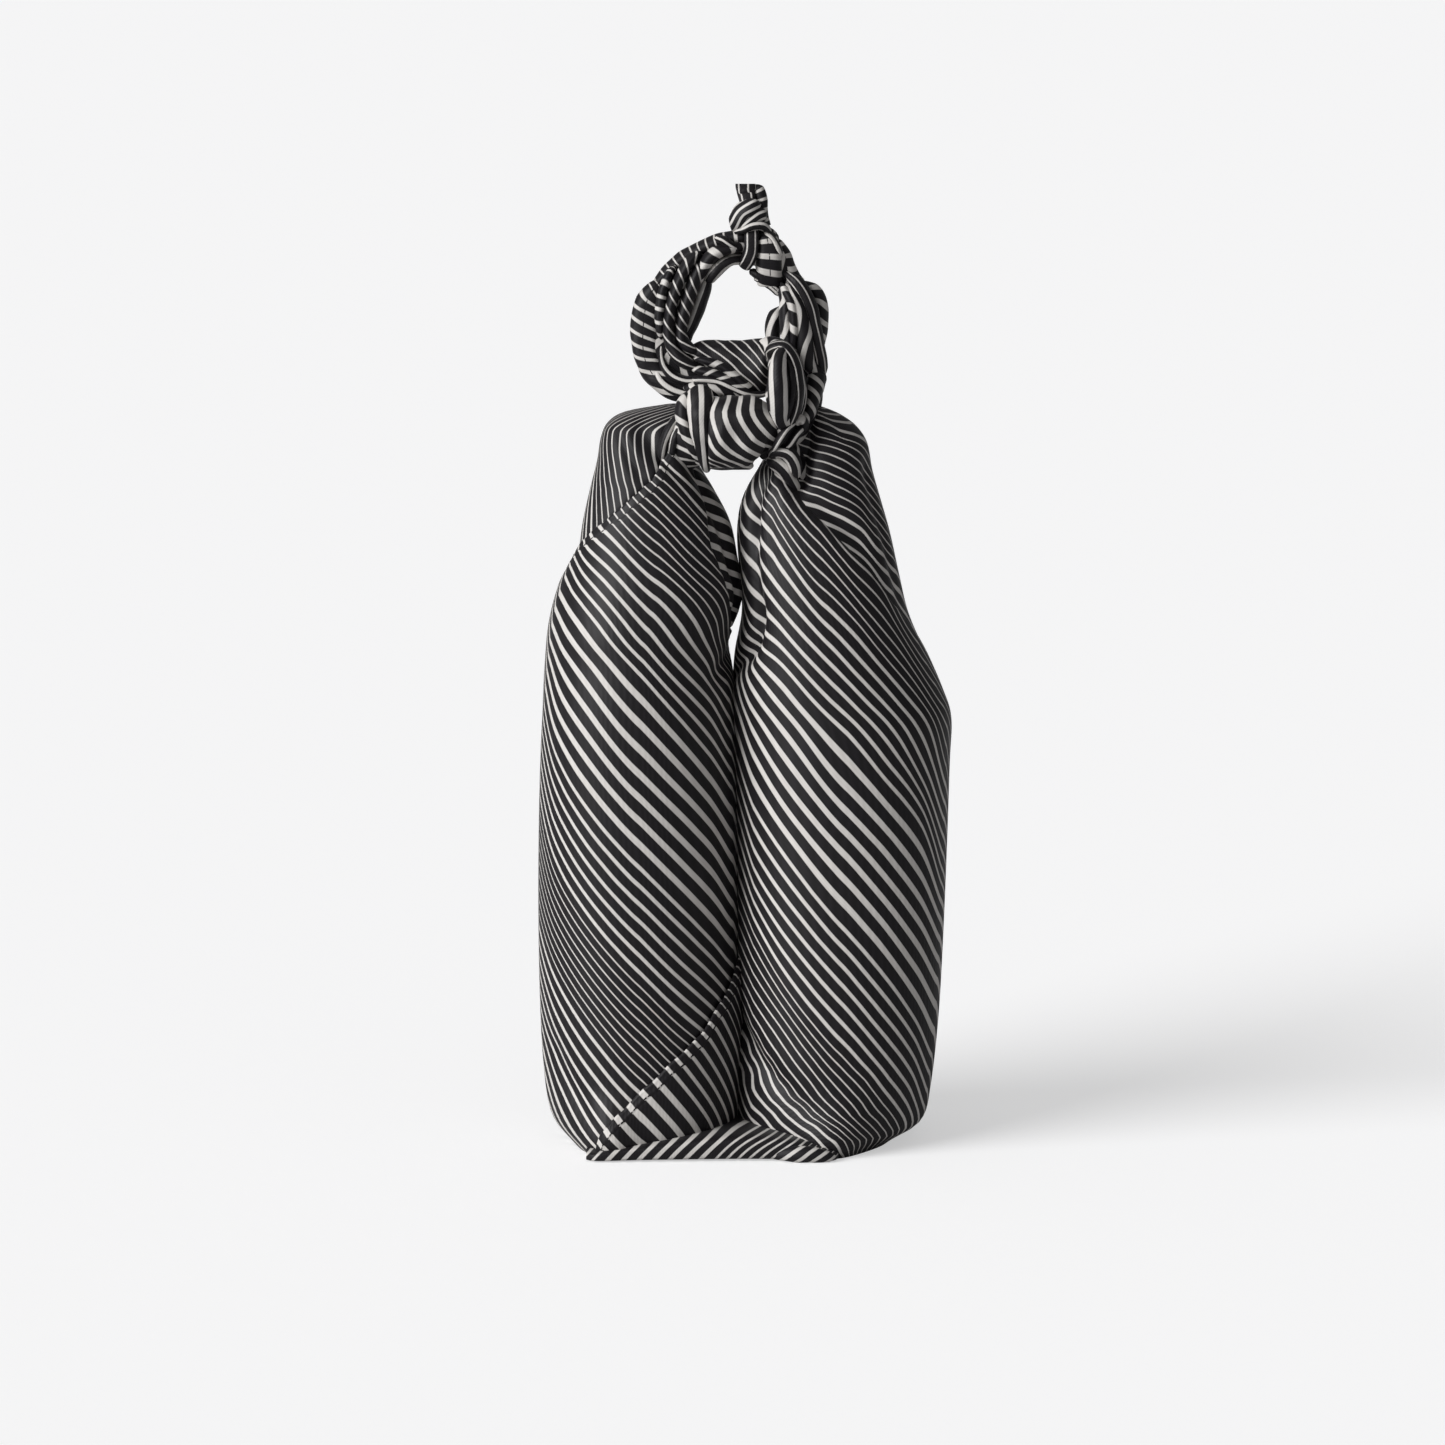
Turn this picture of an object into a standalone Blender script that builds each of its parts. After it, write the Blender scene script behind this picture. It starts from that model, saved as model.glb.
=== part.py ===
"""A furoshiki wrap for two bottles: one square cloth, rolled, stood on its folded middle, tied at the necks.

The two bundles stand side by side on the flattened roll between them. The left end crosses the right one in
a half knot, both ends rise as a ring handle, and a second knot closes the ring with one tip left free.
Everything is one closed solid with its flat base at z = 0. Sizes in the tables are millimetres.
"""

import math
from collections import namedtuple

import bmesh
import bpy
from mathutils import Vector

MM = 0.001

# Driving sizes
WRAP_HEIGHT = 403
BASE_HALF_DEPTH = 52
BASE_THICKNESS = 10
FLOOR_OVERRUN = 2.5

# Mesh sizes
BUNDLE_AROUND = 96
STEPS_PER_SECTION = 5
STRAND_AROUND = 20
STEPS_PER_STATION = 4
VOXEL = 1.4 * MM
KEPT_SHARE = 0.038

# One level cut through a bundle: its reach on each side and how square its corners are
Section = namedtuple("Section", "z left right front back square")

LEFT_BUNDLE = (
    Section(-FLOOR_OVERRUN, -68, -13, -37, 37, 2.4),
    Section(2, -74, -9, -40, 40, 2.3),
    Section(12, -82.5, -4.2, -43, 43, 2.2),
    Section(32, -84.6, -3.2, -43.5, 43.5, 2.1),
    Section(62, -86.0, -3.1, -43.5, 43.5, 2.1),
    Section(102, -86.5, -3.1, -43.5, 43.5, 2.1),
    Section(144, -86.3, -3.5, -43.5, 43.0, 2.1),
    Section(176, -85.0, -4.3, -43.0, 42.0, 2.1),
    Section(192, -82.0, -5.0, -42.0, 41.0, 2.1),
    Section(206, -78.5, -8.4, -40.5, 39.0, 2.1),
    Section(220, -74.5, -2.4, -39.0, 37.0, 2.2),
    Section(232, -71.0, -0.4, -37.0, 35.0, 2.2),
    Section(246, -67.6, -3.0, -34.0, 32.0, 2.2),
    Section(262, -65.6, -7.4, -31.0, 28.0, 2.2),
    Section(276, -64.0, -14.0, -28.0, 25.0, 2.2),
    Section(288, -62.4, -20.5, -25.5, 22.5, 2.3),
    Section(298, -60.8, -23.0, -22.5, 20.0, 2.5),
    Section(304, -55.0, -22.5, -18.0, 16.0, 2.4),
    Section(308, -44.0, -21.5, -13.0, 12.0, 2.2),
    Section(311, -32.0, -22.0, -7.0, 7.0, 2.0),
)

RIGHT_BUNDLE = (
    Section(-FLOOR_OVERRUN, 6, 60, -37, 37, 2.4),
    Section(3, 1, 65, -40, 40, 2.3),
    Section(10, -2.4, 75.0, -42.5, 42.5, 2.2),
    Section(24, -3.0, 79.5, -43.5, 43.5, 2.1),
    Section(50, -3.0, 82.2, -43.5, 43.5, 2.1),
    Section(80, -3.0, 84.6, -43.5, 43.5, 2.1),
    Section(124, -3.0, 85.8, -43.5, 43.5, 2.1),
    Section(162, -3.8, 86.4, -43.5, 43.0, 2.1),
    Section(180, -4.4, 86.3, -43.0, 42.0, 2.1),
    Section(192, -4.8, 80.6, -42.0, 41.0, 2.1),
    Section(208, -3.2, 73.8, -40.5, 39.0, 2.1),
    Section(224, -1.4, 68.6, -39.0, 37.0, 2.2),
    Section(240, -2.4, 63.8, -36.5, 34.0, 2.2),
    Section(258, -1.2, 58.6, -33.0, 30.0, 2.2),
    Section(272, 3.6, 54.8, -30.0, 27.0, 2.3),
    Section(284, 8.6, 52.8, -27.0, 24.5, 2.4),
    Section(295, 12.6, 51.4, -23.0, 21.0, 2.5),
    Section(302, 16.0, 45.0, -17.5, 16.0, 2.4),
    Section(307, 19.0, 37.5, -12.0, 12.0, 2.2),
    Section(310, 22.0, 33.0, -6.0, 7.0, 2.0),
)

# The wound edge of the cloth on the left bundle: its height at each bearing, and how far its lip stands off.
# Bearings are degrees round a bundle: 0 is +X, 90 the back, 180 is -X and 270 the front.
EdgeMark = namedtuple("EdgeMark", "bearing z lip")

LEFT_EDGE = (
    EdgeMark(-120, 2, 1.2),
    EdgeMark(-90, 20, 1.5),
    EdgeMark(-50, 46, 1.5),
    EdgeMark(-10, 74, 1.5),
    EdgeMark(40, 112, 1.8),
    EdgeMark(90, 156, 3.5),
    EdgeMark(135, 196, 7.5),
    EdgeMark(180, 234, 8.5),
    EdgeMark(215, 252, 3.2),
    EdgeMark(270, 278, 1.8),
    EdgeMark(320, 296, 1.5),
)

# A soft crease along a line on a bundle, from one bearing and height to another
Crease = namedtuple("Crease", "bearing z to_bearing to_z width depth")

LEFT_CREASES = (
    Crease(322, 282, 345, 224, 4.0, 2.6),
    Crease(354, 208, 334, 203, 6.0, 2.6),
    Crease(262, 304, 290, 288, 3.0, 2.4),
    Crease(240, 300, 262, 286, 2.5, 1.6),
    Crease(20, 230, 60, 150, 6.0, 1.8),
    Crease(95, 250, 130, 170, 6.0, 2.2),
    Crease(60, 60, 120, 20, 6.0, 1.8),
    Crease(215, 40, 245, 8, 5.0, 1.6),
)

RIGHT_CREASES = (
    Crease(250, 294, 262, 278, 4.5, 4.5),
    Crease(262, 278, 306, 249, 6.5, 6.0),
    Crease(222, 292, 205, 232, 4.0, 2.8),
    Crease(205, 232, 200, 196, 4.5, 2.6),
    Crease(240, 284, 238, 250, 2.6, 1.6),
    Crease(330, 282, 338, 236, 3.5, 1.5),
    Crease(190, 56, 268, 14, 5.0, 2.6),
    Crease(80, 260, 50, 180, 6.0, 2.4),
    Crease(120, 70, 60, 22, 6.0, 2.0),
)

# Where the roll's flattened cloth pulls a bundle's foot out to a corner: place, reach, spread and height
Pull = namedtuple("Pull", "x y reach spread height")

LEFT_PULLS = (Pull(-60, -1, 11.0, 12, 30), Pull(-44, 1, 9.0, 15, 26))
RIGHT_PULLS = (Pull(37, -1, 10.0, 13, 30), Pull(58, 1, 9.0, 13, 26))

# The flattened roll under the bundles, cut across at places along X: shares of its half depth and thickness
Slab = namedtuple("Slab", "x front back top")

BASE_ROLL = (
    Slab(-66, -0.93, 0.3, 0.35),
    Slab(-61, -1, 0.7, 0.45),
    Slab(-44, -0.99, 0.97, 0.7),
    Slab(-20, -0.98, 1, 1),
    Slab(0, -0.97, 0.99, 1.1),
    Slab(18, -0.98, 0.98, 0.95),
    Slab(32, -1, 0.98, 0.6),
    Slab(38, -0.98, 0.99, 0.4),
    Slab(44, -0.5, 1, 0.35),
    Slab(60, 0, 1, 0.35),
    Slab(65, 0.4, 0.94, 0.3),
)

# A knotted end of the cloth: its middle, width across, depth towards the viewer, and how far it leans to +Z
Station = namedtuple("Station", "x y z wide deep lean")

LEFT_END = (
    Station(-37.5, -2, 271.5, 22, 24, 0),
    Station(-32, -8, 284.5, 24, 25, 0),
    Station(-26.5, -14, 295, 27, 27, 0),
    Station(-18.5, -20, 301, 29.5, 29, 0),
    Station(-10, -23, 301.5, 30.5, 29, 0),
    Station(-1, -24, 302, 29.5, 28, 0),
    Station(6.5, -21.5, 302.5, 26, 25, 0),
    Station(11.5, -16, 301.5, 18, 18, 0),
    Station(16, -8, 298.5, 12, 13, 0),
    Station(22, -1, 298, 12, 13, 0),
    Station(25.5, 2, 304, 12, 13, 0),
    Station(27.5, 3, 312, 12.5, 14, 0),
    Station(27, 3, 320, 13, 14, 0),
    Station(25.5, 1, 329, 15.5, 15, 0),
    Station(24.5, 0, 338, 18, 16, 0),
    Station(24, 0, 347.5, 17.5, 16, 0),
    Station(23, 0, 355, 15, 15, 0),
    Station(19.5, -1, 362, 11.5, 12, 0),
    Station(16, -2, 366.5, 13.5, 13, 0),
    Station(11, -4, 372.5, 17.5, 14, 0),
    Station(5, -4, 377, 15, 12, 0),
)

RIGHT_END = (
    Station(28, -4, 271.5, 26, 24, 0),
    Station(21.5, -13, 285.5, 20, 20, 0),
    Station(16.5, -23, 296, 12.5, 15, 0),
    Station(15.5, -28, 306, 14, 17, 0),
    Station(15, -29, 317.5, 17, 18, 0),
    Station(16, -26.5, 328, 16.5, 16, 20),
    Station(15, -20, 333, 15, 13, 75),
    Station(11.5, -12, 333.5, 19, 16, 70),
    Station(6.5, -7, 329, 22, 18, 30),
    Station(-2, -6, 327.5, 23, 20, 0),
    Station(-11, -5, 326.5, 24, 20, 0),
    Station(-20, -4, 325, 24, 19, 0),
    Station(-28, -4, 327, 23.5, 19, 0),
    Station(-34, -4, 332.5, 23.5, 19, 0),
    Station(-35.5, -4, 339.5, 24.5, 18, 0),
    Station(-34, -4, 346, 25.5, 18, 0),
    Station(-30.5, -4, 353, 24.5, 17, 0),
    Station(-26, -4, 360, 20.5, 16, 0),
    Station(-21, -4, 367, 16.5, 15, 0),
    Station(-15, -4, 371.5, 14.5, 14, 0),
    Station(-9, -4, 374.5, 14, 13, 0),
    Station(-2, -4, 377.5, 13, 12, 0),
)

INNER_LOBE = (
    Station(18, 2, 355.5, 4, 5, 0),
    Station(13.5, 3, 348.5, 6.5, 8, 0),
    Station(12, 3, 341, 6.5, 8, 0),
    Station(15.5, 3, 333.5, 5, 6, 0),
)

BACK_LOBE = (
    Station(24, 4, 363, 5, 6, 0),
    Station(30, 5, 354.5, 8, 9, 0),
    Station(30.5, 5, 344, 8, 9, 0),
    Station(29, 4, 332.5, 6, 7, 0),
)

LEFT_BAND = (
    Station(-19.5, -21, 317.5, 13, 6, 40),
    Station(-21, -30, 311, 14, 6, 20),
    Station(-19.5, -34, 303.5, 10.5, 6, 0),
    Station(-19, -31, 295.5, 7.5, 6, -20),
    Station(-17, -24, 288.5, 4.5, 5, -40),
)

TOP_BAND = (
    Station(2.6, 4, 384.5, 7, 4, 90),
    Station(2.6, -6, 384, 6.5, 4, 60),
    Station(3, -11, 377, 6.5, 4, 0),
    Station(1.4, -7, 369, 6.5, 4, -60),
    Station(1.4, 4, 367, 7, 4, -90),
)

CROWN = (
    Station(3, -3, 378, 13, 12, 0),
    Station(1.4, -4, 384, 16, 13, 0),
    Station(1.4, -4, 389, 15.5, 13, 0),
    Station(3.4, -3.5, 393.5, 13, 11, 0),
    Station(5, -3, 396, 8, 8, 0),
)

TIP = (
    Station(5.5, -4, 389, 8, 6, 0),
    Station(3.8, -5.5, 394.5, 10.5, 5, 0),
    Station(1.7, -5, 399.5, 11.5, 4.2, 0),
    Station(-0.3, -4.5, WRAP_HEIGHT - 1, 9, 3.4, 0),
)

# One pleat of a knotted end, from one station to another: its middle and size as shares of the end's own
Pleat = namedtuple("Pleat", "first last across out wide deep")

WHOLE = (Pleat(0, 99, 0, 0, 1, 1),)

LEFT_END_PLEATS = (
    Pleat(0, 9, 0, 0, 1, 1),
    Pleat(8, 20, 0, -0.1, 0.9, 0.84),
    Pleat(9, 17, 0.44, 0.42, 0.36, 0.5),
    Pleat(9, 17, 0.02, 0.5, 0.34, 0.5),
    Pleat(9, 16, -0.44, 0.4, 0.38, 0.5),
    Pleat(17, 20, 0.32, 0.3, 0.5, 0.6),
)

RIGHT_END_PLEATS = (
    Pleat(0, 9, 0, 0, 1, 1),
    Pleat(2, 6, -0.4, 0.4, 0.5, 0.7),
    Pleat(2, 6, 0.42, 0.3, 0.5, 0.7),
    Pleat(8, 12, -0.2, 0.06, 0.8, 0.94),
    Pleat(8, 21, 0, -0.25, 0.9, 0.72),
    Pleat(8, 12, 0.62, 0.34, 0.3, 0.5),
    Pleat(8, 13, 0.88, 0.1, 0.26, 0.6),
    Pleat(12, 21, 0.56, 0.3, 0.46, 0.64),
    Pleat(11, 21, -0.1, 0.52, 0.22, 0.56),
    Pleat(11, 21, -0.44, 0.5, 0.25, 0.56),
    Pleat(13, 21, -0.8, 0.15, 0.24, 0.8),
)


def clear_scene():
    for old in list(bpy.data.objects):
        bpy.data.objects.remove(old, do_unlink=True)


def new_collection(name):
    made = bpy.data.collections.new(name)
    bpy.context.scene.collection.children.link(made)
    return made


def curve_through(rows, at):
    """The row at a fractional place in a table, on a smooth curve through all the rows."""
    last = len(rows) - 1
    start = min(int(at), last - 1)
    share = at - start
    before = rows[max(start - 1, 0)]
    low = rows[start]
    high = rows[start + 1]
    after = rows[min(start + 2, last)]
    columns = []
    for a, b, c, d in zip(before, low, high, after):
        slope_low = (c - a) / 2
        slope_high = (d - b) / 2
        rise = c - b
        bend = rise - slope_low
        turn = slope_low + slope_high - 2 * rise
        columns.append(b + share * (slope_low + share * (bend - turn + share * turn)))
    return type(low)(*columns)


def places(first, last, steps):
    count = (last - first) * steps
    return [first + i / steps for i in range(count + 1)]


def smooth_step(value):
    value = min(max(value, 0), 1)
    return value * value * (3 - 2 * value)


def edge_at(marks, bearing):
    """Height and lip of the wound edge at a bearing between two marks."""
    for low, high in zip(marks, marks[1:]):
        if low.bearing <= bearing <= high.bearing:
            share = (bearing - low.bearing) / (high.bearing - low.bearing)
            return low.z + share * (high.z - low.z), low.lip + share * (high.lip - low.lip)
    return None


def lip_offset(marks, bearing, z):
    """How far the outer layers stand off the ones beneath, just below each pass of the wound edge."""
    offset = 0
    for turned in (bearing - 360, bearing):
        found = edge_at(marks, turned)
        if found is None:
            continue
        height, lip = found
        below = height - z
        offset += lip * smooth_step(below / 4) * (1 - smooth_step((below - 12) / 55))
    return offset


def crease_offset(creases, bearing, z, radius):
    """How far the creases draw the surface in at a bearing and height."""
    offset = 0
    for crease in creases:
        mm_per_degree = math.radians(1) * radius
        across = (crease.to_bearing - crease.bearing) * mm_per_degree
        rise = crease.to_z - crease.z
        length = math.hypot(across, rise)
        turn = (bearing - crease.bearing + 180) % 360 - 180
        side = turn * mm_per_degree
        up = z - crease.z
        along = (side * across + up * rise) / length
        beyond = max(-along, along - length, 0)
        away = (side * rise - up * across) / length
        fade = math.exp(-((beyond / (2 * crease.width)) ** 2))
        offset += crease.depth * fade * math.exp(-((away / crease.width) ** 2))
    return offset


def pulled(pulls, x, y, z, facing):
    """The foot's own place, drawn towards the corners of the flattened roll."""
    for pull in pulls:
        share = max(facing * pull.y, 0)
        near = math.exp(-(((x - pull.x) / pull.spread) ** 2))
        low = 1 - smooth_step(z / pull.height)
        y += pull.y * pull.reach * share * near * low
    return y


def bundle_ring(section, edge, creases, pulls):
    middle_x = (section.left + section.right) / 2
    half_x = (section.right - section.left) / 2
    middle_y = (section.front + section.back) / 2
    half_y = (section.back - section.front) / 2
    power = 2 / section.square
    ring = []
    for i in range(BUNDLE_AROUND):
        bearing = 360 * i / BUNDLE_AROUND
        c = math.cos(math.radians(bearing))
        s = math.sin(math.radians(bearing))
        out_x = math.copysign(abs(c) ** power, c)
        out_y = math.copysign(abs(s) ** power, s)
        move = lip_offset(edge, bearing, section.z) - crease_offset(creases, bearing, section.z, half_x)
        x = middle_x + out_x * (half_x + move)
        y = middle_y + out_y * (half_y + move)
        y = pulled(pulls, x, y, section.z, out_y)
        ring.append(Vector((x, y, section.z)))
    return ring


def slab_ring(slab):
    """The flattened roll's outline across Y, round at its front and back folds."""
    middle = BASE_HALF_DEPTH * (slab.front + slab.back) / 2
    half = BASE_HALF_DEPTH * (slab.back - slab.front) / 2
    top = BASE_THICKNESS * slab.top
    centre_z = (top - FLOOR_OVERRUN) / 2
    half_z = (top + FLOOR_OVERRUN) / 2
    ring = []
    for i in range(BUNDLE_AROUND):
        angle = 2 * math.pi * i / BUNDLE_AROUND
        out = math.copysign(abs(math.cos(angle)) ** 0.22, math.cos(angle))
        up = math.copysign(abs(math.sin(angle)) ** 0.7, math.sin(angle))
        ring.append(Vector((slab.x, middle + half * out, centre_z + half_z * up)))
    return ring


def pleat_rings(stations, pleat):
    last = min(pleat.last, len(stations) - 1)
    rings = []
    for at in places(pleat.first, last, STEPS_PER_STATION):
        here = curve_through(stations, at)
        ahead = curve_through(stations, min(at + 0.05, len(stations) - 1))
        behind = curve_through(stations, max(at - 0.05, 0))
        run = Vector(ahead[:3]) - Vector(behind[:3])
        run.normalize()
        lean = math.radians(here.lean)
        face = Vector((0, -math.cos(lean), math.sin(lean)))
        face -= run * face.dot(run)
        face.normalize()
        side = face.cross(run)
        middle = Vector(here[:3]) + side * pleat.across * here.wide / 2 + face * pleat.out * here.deep / 2
        half_wide = here.wide * pleat.wide / 2
        half_deep = here.deep * pleat.deep / 2
        ring = []
        for i in range(STRAND_AROUND):
            angle = 2 * math.pi * i / STRAND_AROUND
            ring.append(middle + side * half_wide * math.cos(angle) + face * half_deep * math.sin(angle))
        rings.append(ring)
    return rings


def loft(mesh, rings):
    """Adds the closed skin over a row of rings, with its two ends filled."""
    loops = [[mesh.verts.new(point * MM) for point in ring] for ring in rings]
    sides = []
    for low, high in zip(loops, loops[1:]):
        for i in range(len(low)):
            j = (i + 1) % len(low)
            sides.append(mesh.faces.new((low[i], low[j], high[j], high[i])))
    caps = [mesh.faces.new(loops[0]), mesh.faces.new(loops[-1])]
    bmesh.ops.recalc_face_normals(mesh, faces=sides + caps)


def add_bundle(mesh, sections, edge, creases, pulls):
    rings = []
    for at in places(0, len(sections) - 1, STEPS_PER_SECTION):
        rings.append(bundle_ring(curve_through(sections, at), edge, creases, pulls))
    loft(mesh, rings)


def add_base_roll(mesh):
    loft(mesh, [slab_ring(curve_through(BASE_ROLL, at)) for at in places(0, len(BASE_ROLL) - 1, 4)])


def add_end(mesh, stations, pleats):
    for pleat in pleats:
        loft(mesh, pleat_rings(stations, pleat))


def cloth_material():
    made = bpy.data.materials.new("striped_satin")
    made.use_nodes = True
    shader = made.node_tree.nodes["Principled BSDF"]
    shader.inputs["Base Color"].default_value = (0.05, 0.046, 0.05, 1)
    shader.inputs["Roughness"].default_value = 0.62
    shader.inputs["Metallic"].default_value = 0
    return made


def floor_cutter(collection):
    """A block under z = 0 that gives the wrap the flat base it stands on."""
    mesh = bmesh.new()
    bmesh.ops.create_cube(mesh, size=1)
    size = Vector((0.4, 0.3, 0.04))
    bmesh.ops.scale(mesh, vec=size, verts=mesh.verts)
    bmesh.ops.translate(mesh, vec=(0, 0, -size.z / 2), verts=mesh.verts)
    data = bpy.data.meshes.new("floor_cutter")
    mesh.to_mesh(data)
    mesh.free()
    cutter = bpy.data.objects.new("floor_cutter", data)
    cutter.hide_render = True
    cutter.display_type = "WIRE"
    collection.objects.link(cutter)
    return cutter


def furoshiki_cloth(collection, cutter):
    mesh = bmesh.new()
    add_bundle(mesh, LEFT_BUNDLE, LEFT_EDGE, LEFT_CREASES, LEFT_PULLS)
    add_bundle(mesh, RIGHT_BUNDLE, (), RIGHT_CREASES, RIGHT_PULLS)
    add_base_roll(mesh)
    add_end(mesh, LEFT_END, LEFT_END_PLEATS)
    add_end(mesh, RIGHT_END, RIGHT_END_PLEATS)
    for lobe in (LEFT_BAND, INNER_LOBE, BACK_LOBE, TOP_BAND, CROWN, TIP):
        add_end(mesh, lobe, WHOLE)
    data = bpy.data.meshes.new("furoshiki_cloth")
    mesh.to_mesh(data)
    mesh.free()
    data.materials.append(cloth_material())
    cloth = bpy.data.objects.new("furoshiki_cloth", data)
    collection.objects.link(cloth)

    # Fuses the layers into one body, then keeps only the faces that its folds need
    fuse = cloth.modifiers.new("fuse_layers", "REMESH")
    fuse.mode = "VOXEL"
    fuse.voxel_size = VOXEL
    thin = cloth.modifiers.new("thin_faces", "DECIMATE")
    thin.ratio = KEPT_SHARE
    flat = cloth.modifiers.new("flat_base", "BOOLEAN")
    flat.operation = "DIFFERENCE"
    flat.solver = "EXACT"
    flat.object = cutter
    return cloth


def main():
    clear_scene()
    parts = new_collection("furoshiki_wrap")
    cutters = new_collection("cutters")
    furoshiki_cloth(parts, floor_cutter(cutters))


main()
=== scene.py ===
import bisect
import math
import bmesh
import bpy
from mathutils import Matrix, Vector, noise


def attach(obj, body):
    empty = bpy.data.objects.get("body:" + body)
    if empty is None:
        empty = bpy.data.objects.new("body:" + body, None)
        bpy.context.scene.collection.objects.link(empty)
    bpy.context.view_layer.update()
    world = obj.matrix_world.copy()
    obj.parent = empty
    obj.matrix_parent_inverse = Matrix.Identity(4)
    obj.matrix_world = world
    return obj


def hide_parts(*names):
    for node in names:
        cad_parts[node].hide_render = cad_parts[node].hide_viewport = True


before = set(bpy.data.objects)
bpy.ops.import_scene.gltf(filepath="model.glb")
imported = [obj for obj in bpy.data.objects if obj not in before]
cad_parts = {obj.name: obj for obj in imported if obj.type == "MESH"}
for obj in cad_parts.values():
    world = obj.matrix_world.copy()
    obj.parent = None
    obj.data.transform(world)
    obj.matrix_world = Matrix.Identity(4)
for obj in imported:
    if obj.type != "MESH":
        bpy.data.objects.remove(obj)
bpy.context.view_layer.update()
print("frame loaded")

mm = 0.001
weldWithin = 0.02 * mm
farFromHem = 90     # mm: a place on the seam map where no stitches lie
marksEase = 0.4     # how much the values between two marks are eased, 0 is a straight line
stepsPerCut = 12    # steps from one level cut of a bundle to the next
frontBearing = 270


# small helpers

def curveThrough(rows, at):
    # the row at a fractional place in a table, on a smooth curve through all the rows
    last = len(rows) - 1
    low = min(max(int(at), 0), last - 1)
    share = at - low
    before, here, ahead, after = rows[max(low - 1, 0)], rows[low], rows[low + 1], rows[min(low + 2, last)]
    out = []
    for a, b, c, d in zip(before, here, ahead, after):
        s0 = (c - a) / 2
        s1 = (d - b) / 2
        bend = c - b - s0
        turn = s0 + s1 - 2 * (c - b)
        out.append(b + share * (s0 + share * (bend - turn + share * turn)))
    return out


def smoothStep(value):
    value = min(max(value, 0.0), 1.0)
    return value * value * (3 - 2 * value)


def easeFrom(value, start, over):
    # rises from 0 at the start to 1, over the length that follows
    return smoothStep((value - start) / over)


def squarer(value, power):
    # a sine or cosine bent towards a square corner, with its sign kept
    return math.copysign(abs(value) ** power, value)


def alongMarks(marks, at):
    # the values between (at, value, ...) marks, a little eased, and held flat past both ends
    if at <= marks[0][0]:
        return marks[0][1:]
    for low, high in zip(marks, marks[1:]):
        if at <= high[0]:
            share = (at - low[0]) / (high[0] - low[0])
            share = smoothStep(share) * marksEase + share * (1 - marksEase)
            return [a + share * (b - a) for a, b in zip(low[1:], high[1:])]
    return marks[-1][1:]


def stripeTable(columns, rows, start, pitch):
    # the place on the flat cloth over a front-on table of stripe counts: rows are (height, count, count, ...)
    def at(x, z):
        k = 0
        while k < len(rows) - 2 and z < rows[k + 1][0]:
            k += 1
        down = (z - rows[k][0]) / (rows[k + 1][0] - rows[k][0])
        if k + down < 0 or k + down > len(rows) - 1:
            counts = [a + down * (b - a) for a, b in zip(rows[k][1:], rows[k + 1][1:])]
        else:
            counts = curveThrough([row[1:] for row in rows], k + down)
        i = (x - columns[0]) / (columns[1] - columns[0])
        low = min(max(int(i), 0), len(columns) - 2)
        if 0 <= i <= len(columns) - 1:
            return start + pitch * curveThrough([(count,) for count in counts], i)[0]
        return start + pitch * (counts[low] + (i - low) * (counts[low + 1] - counts[low]))
    return at


def gridPiece(columns, rows, place, flat, sewn=None, closeAround=False, capEnds=False):
    # a grid moved by place(i, j), with its cloth map from flat(i, j) and its seam map from sewn(i, j)
    mesh = bmesh.new()
    clothLayer = mesh.loops.layers.uv.new("cloth")
    seamLayer = mesh.loops.layers.uv.new("seam")
    bmesh.ops.create_grid(mesh, x_segments=columns, y_segments=rows, size=0.5)
    index = {}
    for vert in mesh.verts:
        i = round((vert.co.x + 0.5) * columns)
        j = round((vert.co.y + 0.5) * rows)
        index[vert] = (i, j)
    onCloth = {spot: flat(*spot) for spot in index.values()}
    onSeam = {spot: sewn(*spot) if sewn else (farFromHem * mm, 0) for spot in index.values()}
    for face in mesh.faces:
        for loop in face.loops:
            loop[clothLayer].uv = onCloth[index[loop.vert]]
            loop[seamLayer].uv = onSeam[index[loop.vert]]
    for vert in mesh.verts:
        vert.co = Vector(place(*index[vert])) * mm
    if closeAround:
        edge = [vert for vert in mesh.verts if index[vert][0] in (0, columns)]
        bmesh.ops.remove_doubles(mesh, verts=edge, dist=weldWithin)
    if capEnds:
        bmesh.ops.holes_fill(mesh, edges=[e for e in mesh.edges if e.is_boundary], sides=0)
        bmesh.ops.recalc_face_normals(mesh, faces=mesh.faces)
    return mesh


def joinInto(target, part):
    # adds one bmesh to another, keeping both maps
    data = bpy.data.meshes.new("step")
    part.to_mesh(data)
    target.from_mesh(data)
    bpy.data.meshes.remove(data)
    part.free()


def finishPiece(name, mesh):
    data = bpy.data.meshes.new(name)
    mesh.to_mesh(data)
    mesh.free()
    data.materials.append(satin)
    data.shade_smooth()
    made = bpy.data.objects.new(name, data)
    bpy.context.scene.collection.objects.link(made)
    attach(made, "root")
    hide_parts("furoshiki_cloth")
    return made


def faceOutward(mesh, centre):
    # turns an open sheet so that its faces point away from the line up through centre
    total = 0.0
    for face in mesh.faces:
        away = face.calc_center_median() - Vector(centre)
        away.z = 0
        total += face.normal.dot(away) * face.calc_area()
    if total < 0:
        bmesh.ops.reverse_faces(mesh, faces=mesh.faces)


# the cloth's pattern

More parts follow.
